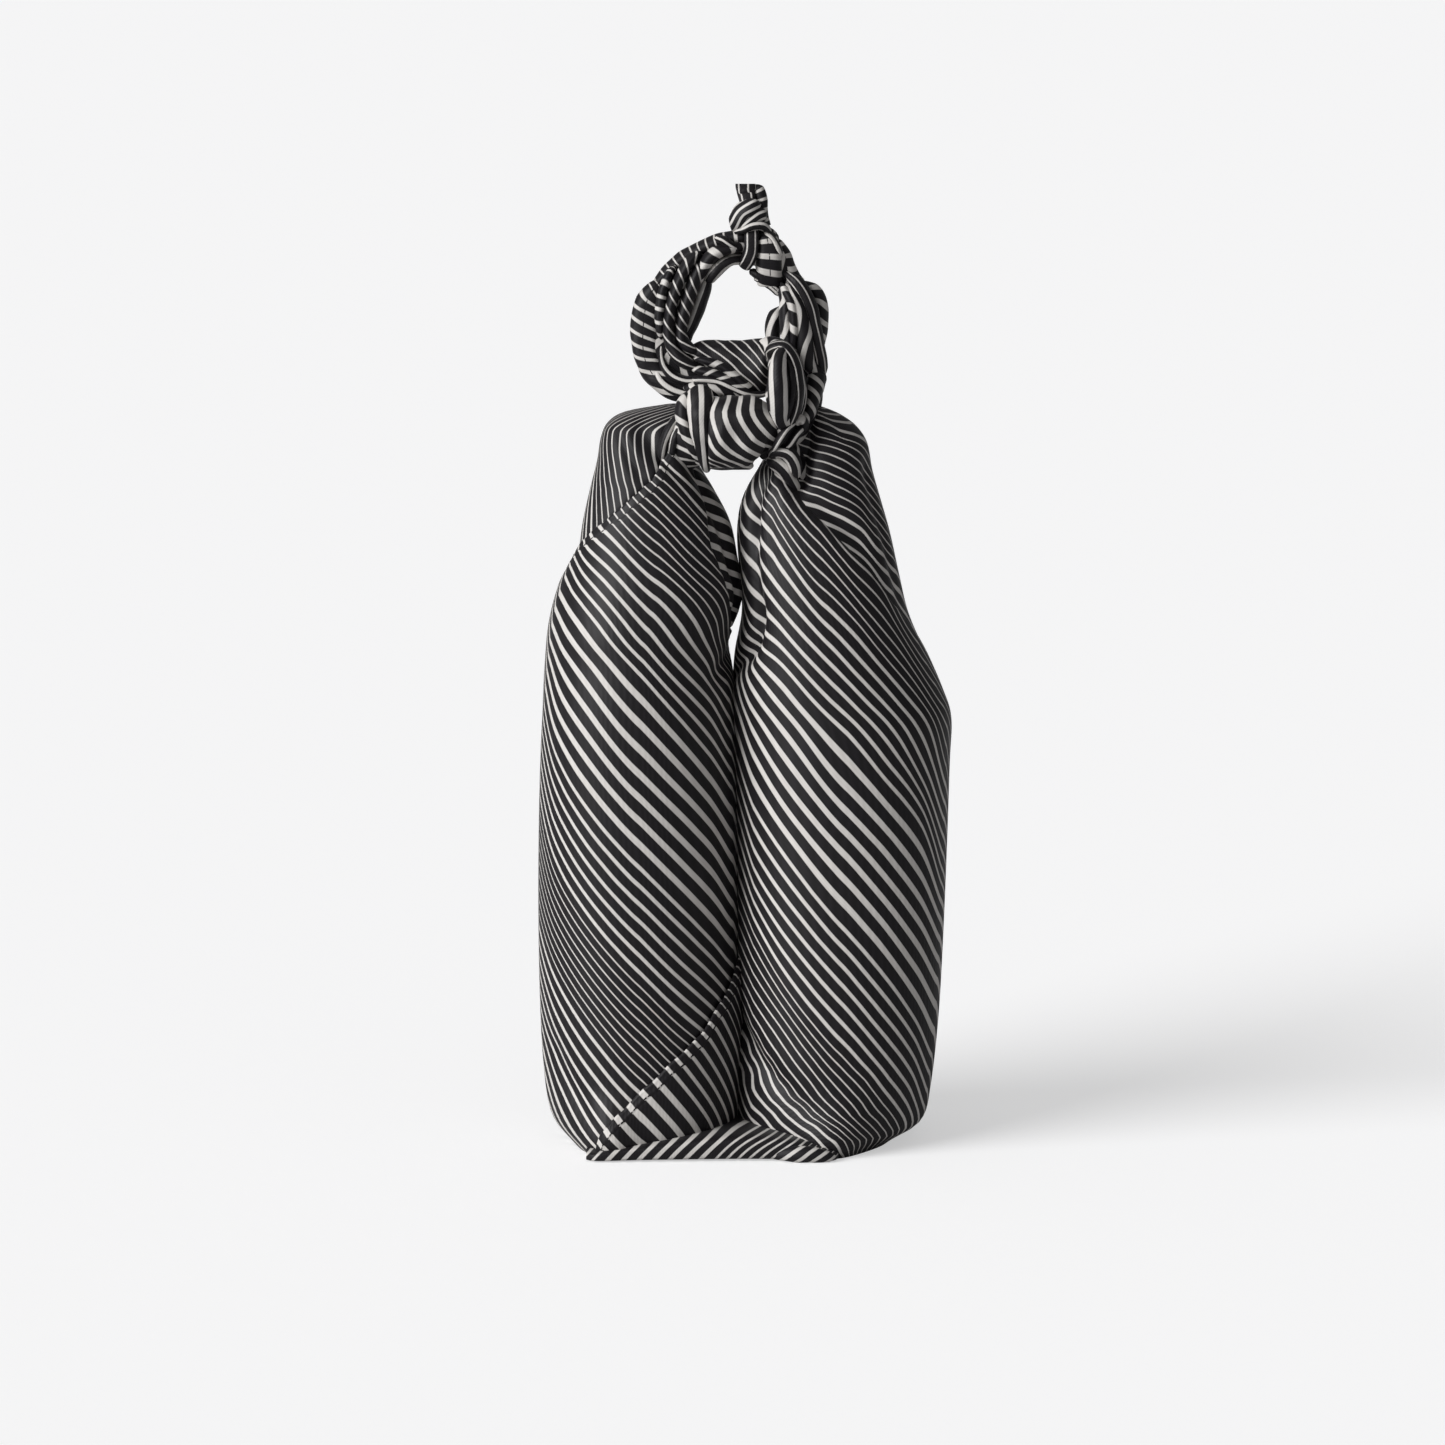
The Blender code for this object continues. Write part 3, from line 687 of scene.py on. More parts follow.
rightWrapSettings = {
    "bearings": (20, 520),
    "middleX": 41,
    "hemUntil": 185,
    "lipShare": 0.4,
    "liftFade": (10, 50),
    "rolledEdge": (3.2, 3.5),       # how far the edge rolls in, and over what width
    "rolledFrom": (196, 15),
    "innerLayer": (1.5, 340, 40),   # how much deeper the inner turn lies, from where, over how many degrees
}


def rightFlat(bearing):
    column = bandColumn(rightBands, rightBearings, bearing)
    swept = list(zip(sweptHeights, alongMarks(rightSwept, bearing)))
    return lambda z: flatAcross(column, z) + alongMarks(swept, z)[0]


def rightStandOff(bearing, s, edge):
    deep, wide = rightWrapSettings["rolledEdge"]
    under, underFrom, underOver = rightWrapSettings["innerLayer"]
    rolled = easeFrom(bearing, *rightWrapSettings["rolledFrom"]) * deep * max(0.0, 1 - s / wide) ** 2
    inner = under * easeFrom(bearing, underFrom, underOver)
    return edgeStandOff(rightWrapSettings, bearing, s, edge) - rolled - inner


rightWrap = wrapSheet("rightWrap", rightBundle, rightWrapSettings, rightFlat, rightStandOff)
print("right wrap made")


# the layers beneath

layerSettings = {
    "columns": 160,
    "rows": 150,
    "rowCrowding": 1.35,    # how closely the rows gather at the top
    "floorGap": 0.2,
    "tuckUnder": 1.5,       # how far they lie in where the wrap is over them
    "tuckBlend": (5, 0.4),  # mm over which that starts at the wrap's edge, and the share already there
    "endBlend": (12, 0.2),  # the same in degrees at the wrap's end
    "noEnd": -90,           # stands for a wrap that has no folded end here
}


def layerForm(name, bundle, settings, flat):
    # one closed form whose upper part shows
    columns, rows = layerSettings["columns"], layerSettings["rows"]
    lowest = layerSettings["floorGap"]
    hem = bundle["hem"]
    edgeOver, edgeShare = layerSettings["tuckBlend"]
    endOver, endShare = layerSettings["endBlend"]

    def heightOf(j):
        return lowest + (settings["top"] - lowest) * (1 - (1 - j / rows) ** layerSettings["rowCrowding"])

    def bearingOf(i):
        return settings["seam"] + 360 * i / columns

    def covered(bearing, z):
        # how far the wrap lies over this place
        over = 0.0
        for b in (bearing - 360, bearing, bearing + 360):
            if hem[0][0] <= b <= hem[-1][0]:
                pastEnd = b - alongMarks(bundle["ends"], z)[0] if bundle["ends"] else layerSettings["noEnd"]
                underEdge = smoothStep((alongMarks(hem, b)[0] - z) / edgeOver + edgeShare)
                over = max(over, underEdge * (1 - smoothStep(pastEnd / endOver + endShare)))
        return over

    def place(i, j):
        z, bearing = heightOf(j), bearingOf(i)
        return bundlePoint(bundle, bearing, z, -layerSettings["tuckUnder"] * covered(bearing, z))

    def wayAround(j):
        # the way round one level, from the front
        spots = [place(i, j) for i in range(columns + 1)]
        far = [0.0]
        for low, high in zip(spots, spots[1:]):
            far.append(far[-1] + math.dist(low, high))
        front = round((frontBearing - settings["seam"]) / 360 * columns)
        return [value - far[front] for value in far]

    ways = [wayAround(j) for j in range(rows + 1)]
    mesh = gridPiece(columns, rows, place, lambda i, j: flat(bearingOf(i), heightOf(j), ways[j][i]),
                     closeAround=True, capEnds=True)
    made = finishPiece(name, mesh)
    return made


# near upright stripes that turn over the shoulder towards the knot, and broad bars on the inner side. The
# slopes of the upright stripes were solved by a separate program
leftLayerSettings = {
    "top": 311,
    "seam": 20,
    "upright": (168.95, 0.9465, 0.0754, 270),   # place at the front, change for each mm round and up, height
    "turnOver": (301, 4, 1.5),      # height where the turn starts, mm within which it bends, its slope
    "barsFrom": (304, 6),
    "bars": (105.4, 0.886, 280),    # place, change for each mm up, from this height
    "barSlope": (0.22, 332),
}


def leftLayerFlat(bearing, z, wayRound):
    turnFrom, bend, turn = leftLayerSettings["turnOver"]
    over = max(z - turnFrom, 0)
    over = over * over / (2 * bend) if over < bend else over - bend / 2
    place, perRound, perUp, fromHeight = leftLayerSettings["upright"]
    u = place + wayRound * perRound + (z - fromHeight) * perUp - over * turn
    inner = easeFrom(bearing, *leftLayerSettings["barsFrom"])
    barPlace, barPerUp, barHeight = leftLayerSettings["bars"]
    slope, level = leftLayerSettings["barSlope"]
    bars = barPlace + (z - barHeight + slope * (bearing - level)) * barPerUp
    return (u + inner * (bars - u)) * mm, (z + inner * (wayRound - z)) * mm


# the right shoulder's stripes: bearings, then each height with its stripe counts. The counts were solved by a
# separate program and not chosen by hand
shoulderStripes = stripeTable((237, 249, 261, 273, 285, 297, 309, 321, 333, 345), (
    (304, 6.92, 7.48, 7.93, 8.41, 8.9, 9.66, 9.92, 10.08, 10.24, 10.29),
    (294.5, 4.11, 4.65, 4.98, 5.33, 5.79, 6.33, 6.9, 7.47, 8.11, 8.69),
    (285, 1.38, 1.91, 2.23, 2.6, 3.19, 3.77, 4.47, 5.23, 6.06, 7.11),
    (275.5, -1.39, -0.9, -0.56, -0.1, 0.61, 1.3, 2.15, 3.23, 4.07, 5.33),
    (266, -4.29, -3.75, -3.2, -2.57, -1.91, -1.19, -0.13, 1.49, 2.19, 3.47),
    (256.5, -7.27, -6.56, -5.82, -5.05, -4.26, -3.48, -2.55, -0.62, 0.31, 1.72),
    (247, -10.29, -9.36, -8.42, -7.47, -6.48, -5.41, -4.09, -2.39, -1.54, -0.32),
    (237.5, -13.33, -12.16, -10.99, -9.79, -8.53, -7.12, -5.54, -4.05, -3.2, -2.12),
    (228, -16.39, -14.95, -13.5, -12.03, -10.5, -8.91, -7.32, -5.9, -4.73, -3.46),
    (218.5, -19.45, -17.73, -15.99, -14.24, -12.48, -10.78, -9.19, -7.71, -6.26, -4.83),
), 143.6, 3.37)
rightLayerSettings = {
    "top": 310,
    "seam": 188,
    "tabled": (237, 352),   # bearings within which the table is used
    "sideTurn": 0.3,        # mm for each degree past them
    "roofFrom": 303,        # above this the rounded top starts
    "roof": (1.2, 0.08),    # the way inwards over it for each mm up, and how that grows
    "roofTurn": 0.9,
}


def rightLayerFlat(bearing, z, wayRound):
    low, high = rightLayerSettings["tabled"]
    turned = min(max(bearing, low), high)
    roofFrom = rightLayerSettings["roofFrom"]
    over = max(z - roofFrom, 0)
    steady, growing = rightLayerSettings["roof"]
    roof = steady * over + growing * over * over
    u = shoulderStripes(turned, min(z, roofFrom)) + rightLayerSettings["sideTurn"] * (bearing - turned)
    return (u + rightLayerSettings["roofTurn"] * roof) * mm, wayRound * mm


layerForm("leftUnderLayer", leftBundle, leftLayerSettings, leftLayerFlat)
layerForm("rightUnderLayer", rightBundle, rightLayerSettings, rightLayerFlat)
print("under layers made")


# rolled folds

strandSettings = {
    "around": 36,
    "perStation": 7,
    "slopeStep": 0.05,      # how far to both sides the way along a fold is read
    "unevenness": 0.1,
    "unevenSize": 0.16,
    "wrapShare": 0.35,      # how far the stripes follow the round side instead of the width
    "alongShare": (0.7, 0.4),
    "leastEnd": 0.03,       # what a narrowed end keeps
    # the bulk behind the folds: its size, how far back it lies, how its stripes turn and run on
    "coreScale": 0.78,
    "corePush": 1.5,
    "coreTurn": 0.5,
    "coreShare": 0.75,
}


def strandFrames(stations):
    # middle, side, facing and the station's own values at close steps along a strand
    steps = (len(stations) - 1) * strandSettings["perStation"]
    nearby = strandSettings["slopeStep"]
    frames = []
    for k in range(steps + 1):
        at = k / strandSettings["perStation"]
        here = curveThrough(stations, at)
        ahead = curveThrough(stations, min(at + nearby, len(stations) - 1))
        behind = curveThrough(stations, max(at - nearby, 0))
        run = (Vector(ahead[:3]) - Vector(behind[:3])).normalized()
        face = Vector((0, -1, 0))
        face = (face - run * face.dot(run)).normalized()
        frames.append((Vector(here[:3]), face.cross(run), face, here[3:]))
    return frames


def clothLobe(stations, fullRound=2.0, startTaper=0.0, endTaper=0.0, scale=1.0, push=0.0, placeOnCloth=None,
              stitchAt=None):
    # one rolled fold: stations hold x, y, z, width, depth, place across the flat cloth, and how far the
    # stripes run along the fold (1) or round it (0)
    frames = strandFrames(stations)
    around = strandSettings["around"]
    rows = len(frames) - 1
    run = [0.0]
    for low, high in zip(frames, frames[1:]):
        run.append(run[-1] + (high[0] - low[0]).length)
    crossShare, girthShare = strandSettings["alongShare"]

    def size(j):
        # half width and half depth, drawn in at the two ends
        shut = 1.0
        for taper, away in ((startTaper, run[j]), (endTaper, run[-1] - run[j])):
            if taper > 0:
                shut *= math.sqrt(max(min(away / run[-1] / taper, 1), strandSettings["leastEnd"]))
        return frames[j][3][0] / 2 * shut * scale, frames[j][3][1] / 2 * shut * scale

    def angleOf(i):
        return 2 * math.pi * i / around - math.pi / 2

    def wideShare(i):
        return squarer(math.cos(angleOf(i)), 2 / fullRound)

    def place(i, j):
        middle, side, face = frames[j][:3]
        halfWide, halfDeep = size(j)
        deepShare = squarer(math.sin(angleOf(i)), 2 / fullRound)
        spot = middle + side * (halfWide * wideShare(i)) + face * (halfDeep * deepShare)
        spot += Vector((0, push, 0))
        swell = noise.noise(spot * strandSettings["unevenSize"]) * strandSettings["unevenness"]
        return spot + (spot - middle) * swell

    def flat(i, j):
        if placeOnCloth:
            spot = place(i, j)
            return placeOnCloth(spot[0], spot[2]) * mm, (spot[0] - spot[2]) * crossShare * mm
        halfWide, halfDeep = size(j)
        arc = (halfWide + halfDeep) / 2 * math.asin(max(-1.0, min(1.0, math.cos(angleOf(i)))))
        share = strandSettings["wrapShare"]
        girth = halfWide * wideShare(i) * (1 - share) + arc * share
        start, turn = frames[j][3][2:4]
        return (start + turn * girth) * mm, (run[j] - girth * girthShare) * mm

    def sewn(i, j):
        if stitchAt is None:
            return farFromHem * mm, run[j] * mm
        return (size(j)[0] * wideShare(i) - stitchAt + clothSettings["stitchFrom"]) * mm, run[j] * mm

    return gridPiece(around, rows, place, flat, sewn, closeAround=True, capEnds=True)


# the flattened roll under the bundles

baseSettings = {
    "halfDepth": 52,
    "thickness": 10,
    "columns": 96,
    "rows": 90,
    "square": (0.15, 0.45),     # how square its sides and its top are, 1 is round
    "floorGap": 0.05,
    "place": 125,               # where the stripes start across the flat cloth
    "depthRise": 0.156,         # a place farther back counts as this much higher
    "lean": 0.8,                # how far the stripes lean to the right, and how that grows with the height
    "leanMore": 0.02,
    "leanRight": (0.03, -10, 25),
}
# cuts along x: x, front and back as shares of the half depth, top as a share of the thickness
baseCuts = (
    (-66, -0.93, 0.3, 0.35), (-61, -1, 0.7, 0.45), (-44, -0.99, 0.97, 0.7), (-20, -0.98, 1, 1),
    (0, -0.97, 0.99, 1.1), (18, -0.97, 0.98, 0.95), (32, -0.97, 0.98, 0.6), (38, -0.95, 0.99, 0.4),
    (44, -0.5, 1, 0.35), (60, 0, 1, 0.35), (65, 0.4, 0.94, 0.3),
)
# the small fold that lies before it: x, y, z, width, depth, place across the flat cloth and turn
baseFold = (
    (8, -44, 2.2, 3, 3, 57.2, -1.3), (14, -48.4, 2.8, 4.6, 4.4, 62.7, -1.3),
    (20.5, -50.4, 3.4, 6.6, 6, 68.6, -1.3), (27, -50.8, 3.4, 6.7, 6, 75.2, -1.3),
    (33, -50.6, 2.7, 5.3, 5, 82.1, -1.3), (38.5, -49.5, 1.8, 3, 3, 88.8, -1.3),
)


def baseRoll():
    columns, rows = baseSettings["columns"], baseSettings["rows"]
    halfDepth = baseSettings["halfDepth"]
    sideSquare, topSquare = baseSettings["square"]
    extra, extraFrom, extraOver = baseSettings["leanRight"]

    def place(i, j):
        x, front, back, top = curveThrough(baseCuts, j / rows * (len(baseCuts) - 1))
        angle = 2 * math.pi * i / columns
        middle, half = halfDepth * (front + back) / 2, halfDepth * (back - front) / 2
        y = middle + half * squarer(math.cos(angle), sideSquare)
        height = baseSettings["thickness"] * top
        z = height / 2 + height / 2 * squarer(math.sin(angle), topSquare)
        return x, y, max(baseSettings["floorGap"], z)

    def flat(i, j):
        x, y, z = place(i, j)
        rise = z + baseSettings["depthRise"] * (y + halfDepth)
        more = baseSettings["leanMore"] + extra * easeFrom(x, extraFrom, extraOver)
        u = baseSettings["place"] + x - rise * (baseSettings["lean"] + more * rise)
        return u * mm, (y + z) * mm

    mesh = gridPiece(columns, rows, place, flat, closeAround=True, capEnds=True)
    joinInto(mesh, clothLobe(baseFold, 2.2, 0.1, 0.1))
    made = finishPiece("baseRoll", mesh)
    return made


baseRoll()
print("base roll made")


# knotted ends

# folds that show a line of hem stitches: how far across the fold it runs
stitchedFolds = {"outerFlat": -1.0, "lumpFront": 0.2, "flap": 0.0}


def knotPiece(name, lobes, cores):
    whole = bmesh.new()
    whole.loops.layers.uv.new("cloth")
    whole.loops.layers.uv.new("seam")
    for lobeName, fullRound, startTaper, endTaper, stations in lobes:
        stitchAt = stitchedFolds.get(lobeName)
        joinInto(whole, clothLobe(stations, fullRound, startTaper, endTaper, stitchAt=stitchAt))
    for core in cores:
        joinInto(whole, core)
    made = finishPiece(name, whole)
    return made


def strandCore(stations, first, last, start):
    # the bulk of a strand behind its folds, striped aslant
    rows = []
    length = start
    for k in range(first, last + 1):
        x, y, z, wide, deep = stations[k][:5]
        if rows:
            length += math.dist(rows[-1][:3], (x, y, z)) * strandSettings["coreShare"]
        rows.append((x, y, z, wide, deep, length, strandSettings["coreTurn"]))
    return clothLobe(rows, scale=strandSettings["coreScale"], push=strandSettings["corePush"])


# The points of all the tables below were set by hand, and a separate program turned them into millimetres and
# wrote out the folds' lines.

# the bulk of both ends: x, y, z, width across, depth towards the front
leftEnd = (
    (-37.5, -2, 271.5, 22, 24), (-32, -8, 284.5, 24, 25), (-26.5, -14, 295, 27, 27),
    (-18.5, -20, 301, 29.5, 29), (-10, -23, 301.5, 30.5, 29), (-1, -24, 302, 29.5, 28),
    (6.5, -21.5, 302.5, 26, 25), (11.5, -16, 301.5, 18, 18), (16, -8, 298.5, 12, 13), (22, -1, 298, 12, 13),
    (25.5, 2, 304, 12, 13), (27.5, 3, 312, 12.5, 14), (27, 3, 320, 13, 14), (25.5, 1, 329, 15.5, 15),
    (24.5, 0, 338, 18, 16), (24, 0, 347.5, 17.5, 16), (23, 0, 355, 15, 15), (19.5, -1, 362, 11.5, 12),
    (16, -2, 366.5, 13.5, 13), (11, -4, 372.5, 17.5, 14), (5, -4, 377, 15, 12),
)
rightEnd = (
    (28, -4, 271.5, 26, 24), (21.5, -13, 285.5, 20, 20), (16.5, -23, 296, 12.5, 15),
    (15.5, -28, 306, 14, 17), (15, -29, 317.5, 17, 18), (16, -26.5, 328, 16.5, 16), (15, -20, 333, 15, 13),
    (11.5, -12, 333.5, 19, 16), (6.5, -7, 329, 22, 18), (-2, -6, 327.5, 23, 20), (-11, -5, 326.5, 24, 20),
    (-20, -4, 325, 24, 19), (-28, -4, 327, 23.5, 19), (-34, -4, 332.5, 23.5, 19),
    (-35.5, -4, 339.5, 24.5, 18), (-34, -4, 346, 25.5, 18), (-30.5, -4, 353, 24.5, 17),
    (-26, -4, 360, 20.5, 16), (-21, -4, 367, 16.5, 15), (-15, -4, 371.5, 14.5, 14), (-9, -4, 374.5, 14, 13),
    (-2, -4, 377.5, 13, 12),
)

# each fold: name, squareness, how soon it narrows at its start and end, then its stations
topKnotLobes = (
    ("tipFlat", 3, 0, 0, ((0.5, -5.5, 403.2, 8.6, 3.2, 7.7, 1), (0.5, -5.6, 401.5, 8.6, 3.2, 7.7, 1),
     (0.5, -6, 400.3, 8, 3.6, 7.7, 1), (0.7, -6, 399, 7.6, 3.6, 6.9, 1), (1.3, -7, 395.4, 6.3, 4.5, 6.8, 1),
     (2.2, -6, 392, 5, 5, 6.8, 1))),
    ("tipSide", 2.2, 0.1, 0, ((4.6, -4, 402.8, 4.2, 5, 108.5, 0.1), (5.9, -4, 400.1, 5, 6, 112, 0.1),
     (6.9, -4, 396.4, 5, 6.5, 116.6, 0.1), (7.3, -4, 393.1, 4.4, 7, 120.4, 0.15),
     (7.5, -4, 389.4, 4.6, 7.5, 124, 0.2), (8.4, -4, 385.7, 4.6, 7, 128, 0.2))),
    ("crownLeft", 2, 0.25, 0.2, ((-5.1, -4.5, 383.7, 4.8, 8, 80.6, 1.9),
     (-3, -6, 387.9, 7.8, 11, 81.6, 2.05), (-0.3, -7, 391.3, 9.4, 12, 80.4, 2.1),
     (2.8, -7, 393.7, 8.2, 11, 82, 2.05), (6.3, -5, 395.2, 4.6, 8, 81.4, 1.9))),
    ("crownRight", 2, 0.25, 0.2, ((-1.6, -4, 384.9, 3.8, 9, 77.9, 1.9), (1.7, -6.5, 387.9, 6.3, 11, 79, 2),
     (5.5, -6.5, 390.4, 7.1, 11, 78.2, 2), (8.4, -5, 391.5, 5.9, 9, 79.2, 1.9))),
    ("crownFoot", 2, 0.1, 0.15, ((-3.2, -5, 383.5, 2.5, 7, 71.8, 1.5), (0.1, -8, 384.7, 3.4, 8, 71.6, 1.6),
     (3.4, -9.5, 386.1, 3.8, 8, 71.6, 1.6), (6.9, -8.5, 386.2, 3.8, 8, 71.7, 1.6),
     (10, -5, 384.1, 2.9, 8, 71.8, 1.5))),
    ("topBand", 2.5, 0, 0.1, ((2.6, -7, 385.1, 5.9, 6, 10.2, 1.05), (2.8, -9, 381.1, 6.1, 5.5, 10.2, 1.05),
     (2.6, -9, 376.1, 6.3, 5.5, 10.2, 1.05), (1.3, -8, 372.3, 6.3, 6, 10.2, 1),
     (-0.5, -4, 369.1, 5.7, 6, 10.2, 1))),
    ("lumpFront", 2.9, 0.12, 0, ((8, -4, 384.4, 5, 10, 68, -0.05), (9.2, -4, 380.1, 8.8, 13, 73.3, -0.08),
     (10, -4, 373.9, 10.5, 13, 79.8, -0.16), (10.3, -3.5, 367.7, 10.9, 12, 86.3, -0.2),
     (10.5, -2, 361.9, 10.5, 9, 92, -0.25))),
    ("lumpCrease", 2, 0.25, 0.25, ((8, -5, 383.3, 2.1, 6, 73.3, 1), (11.2, -7.5, 381, 2.9, 7, 73.3, 1.2),
     (13.5, -7, 377.2, 3.4, 7, 73.5, 1.2), (14.8, -4, 373.3, 2.9, 6, 73.5, 1))),
    ("outerPleat", 2, 0.15, 0.1, ((11.3, 0, 381.3, 3.4, 9, 67.5, -0.2), (14, 0, 377.5, 5, 11, 74, -0.25),
     (16.7, 0, 373, 5.7, 11, 80.2, -0.25), (18.2, 0, 368.4, 6.3, 11, 86.2, -0.3),
     (20.9, 1, 363.4, 5.9, 11, 92, -0.3), (24.6, 2, 359.5, 5.5, 10, 97, -0.3))),
    ("flap", 2.4, 0.05, 0.2, ((3.9, -2.5, 364.3, 2.1, 4, 73.2, 1), (7.6, -3.5, 362.9, 3.4, 5, 73.4, 1),
     (11.7, -3.5, 360.4, 3.8, 6, 73.6, 1), (15.5, -2, 356.6, 3.8, 7, 73.9, 1))),
    ("flapDark", 2.4, 0.1, 0.2, ((2.2, -2, 367.3, 2.5, 5, 89.5, 0.9), (5.5, -3.5, 365.4, 3.8, 7, 89.5, 0.9),
     (9.6, -3.5, 363.3, 4.6, 7, 89.5, 0.9), (14.6, -2.5, 360.7, 4.6, 7, 89.5, 0.9))),
    ("knotHeart", 2, 0.1, 0.1, ((-1.1, -1, 380.5, 7.6, 13, 20, 0.5), (3.8, -1, 381.3, 9.2, 14, 26, 0.5),
     (8.8, -1, 380.5, 9.2, 14, 33, 0.5), (13, -1, 377.2, 6.7, 12, 40, 0.5))),
    ("backBand", 2.3, 0.1, 0.1, ((3.4, 2, 385.3, 6.3, 8, 10.2, 1), (3.9, 5.5, 380, 6.7, 7, 10.2, 1),
     (3.9, 5.5, 374.6, 6.3, 7, 10.2, 1), (2.2, 2, 369.9, 5.5, 8, 10.2, 1))),
    ("backCrown", 2, 0.2, 0.2, ((-4, 0, 384.2, 5.9, 10, 70, 1), (-1.1, 2.5, 388.1, 8.4, 11, 70, 1),
     (2.6, 3.5, 391.4, 9.2, 11, 70, 1), (6.3, 1, 394, 5.9, 9, 70, 1))),
)
handleRightLobes = (
    ("thinPleat", 2.1, 0.15, 0.1, ((15.8, -4, 367.1, 3.8, 8, 10.4, 1), (20.8, -6.5, 363.1, 5.9, 9, 10.4, 1),
     (24.5, -7, 357.8, 6.7, 9, 10.4, 1), (27, -7, 351.6, 7.1, 9, 10.3, 1),
     (28.5, -6.5, 344.5, 6.7, 9, 10.2, 1), (30, -6, 337, 6.1, 9, 10, 1), (31.5, -5, 329.4, 5.7, 9, 10, 1),
     (32.1, -3, 322.1, 4.6, 8, 10, 1))),
    ("patchPleat", 2.1, 0.12, 0.15, ((17.1, -5, 361.8, 3.4, 8, 66.6, 0.95),
     (20, -8, 357.1, 5.5, 9, 67.6, 0.97), (22.4, -9, 350.9, 6.7, 9, 67.2, 0.97),
     (24.1, -9.5, 343.5, 7.1, 9, 69.8, 0.97), (24.7, -9.5, 336.1, 7.6, 9, 73.5, 0.97),
     (26.2, -8.5, 328.9, 5.9, 9, 76.8, 0.97), (28.3, -6, 323.7, 3.8, 8, 78, 0.95))),
    ("blockPleat", 2.1, 0.12, 0.12, ((15, -6, 362.3, 2.9, 8, 62, -0.3), (17.5, -9, 358, 3.8, 8, 68.5, -0.3),
     (19.5, -10.5, 353.1, 3.8, 8, 73.2, -0.35), (20.4, -10.5, 344, 3.8, 8, 79.8, -0.35),
     (20, -9, 335.2, 3.4, 8, 86.2, -0.3), (21.7, -7, 329.2, 3.4, 8, 90, -0.3))),
    ("leafPleat", 2, 0.12, 0.15, ((14.6, -4, 360.9, 2.9, 9, 66, 0.6), (16.5, -6, 355.6, 4.6, 10, 67, 0.75),
     (16.7, -7, 349.9, 5, 10, 71.7, 0.75), (17.1, -7.5, 343.8, 5.2, 10, 73.6, 0.8),
     (18.4, -7, 337.1, 5, 10, 78.4, 0.7), (20, -6, 331.6, 3.8, 9, 81.5, 0.6))),
    ("innerLobe", 2, 0.2, 0.1, ((15.1, 2, 352.1, 2.9, 8, 105, 0.9), (13, 2, 348.3, 6.3, 10, 106, 0.9),
     (11.8, 2, 343.3, 6.7, 11, 107.1, 0.9), (12, 2, 338.3, 5.9, 11, 108.2, 0.9),
     (13.9, 1, 333.8, 4.2, 9, 109, 0.9))),
    ("backLobe", 2, 0.15, 0.12, ((24.2, 3, 362.4, 3.4, 9, 69.5, -0.55), (28.4, 3, 359.1, 5, 11, 74.8, -0.6),
     (31.1, 3, 354.5, 6.1, 12, 79.7, -0.62), (31.7, 3, 348.2, 6.3, 12, 84.6, -0.62),
     (31.6, 3, 341.6, 5.9, 12, 91.2, -0.62), (30.7, 2, 335.4, 5, 11, 98.3, -0.62),
     (30.5, 1, 329.7, 3.8, 9, 104, -0.6))),
    ("cornerPleat", 2.2, 0.1, 0.25, ((26.3, -5, 331.5, 3.8, 8, 85, 0.85),
     (28.3, -6.5, 327.5, 5.5, 9, 86, 0.85), (30.8, -6.5, 323.3, 5.9, 9, 88, 0.85),
     (32.1, -5, 318.6, 4.2, 9, 90, 0.8))),
    ("lowerStrand", 2.2, 0.1, 0.1, ((30, -5, 326.5, 6.7, 11, 67.5, -0.55),
     (29.6, -6.5, 322.1, 8, 13, 72.4, -0.6), (28.7, -8, 317.6, 7.6, 14, 77.8, -0.62),
     (27.5, -10, 312.4, 6.7, 14, 84.2, -0.62), (25.4, -12, 307.2, 5.9, 13, 90.6, -0.6),
     (22, -15, 302.6, 4.6, 12, 96.4, -0.5), (18.7, -18, 299.1, 3.8, 10, 101, -0.4))),
    ("lowerInner", 2, 0.1, 0.1, ((21.6, -10, 328.2, 3.4, 9, 9.6, 0.95),
     (23.3, -12.5, 323.5, 4.2, 10, 10.2, 1), (24.1, -14, 317.8, 4.2, 10, 10.2, 1),
     (23.3, -16, 311.8, 3.8, 10, 10.2, 1), (20.7, -20, 306, 3.4, 9, 10.2, 1))),
)
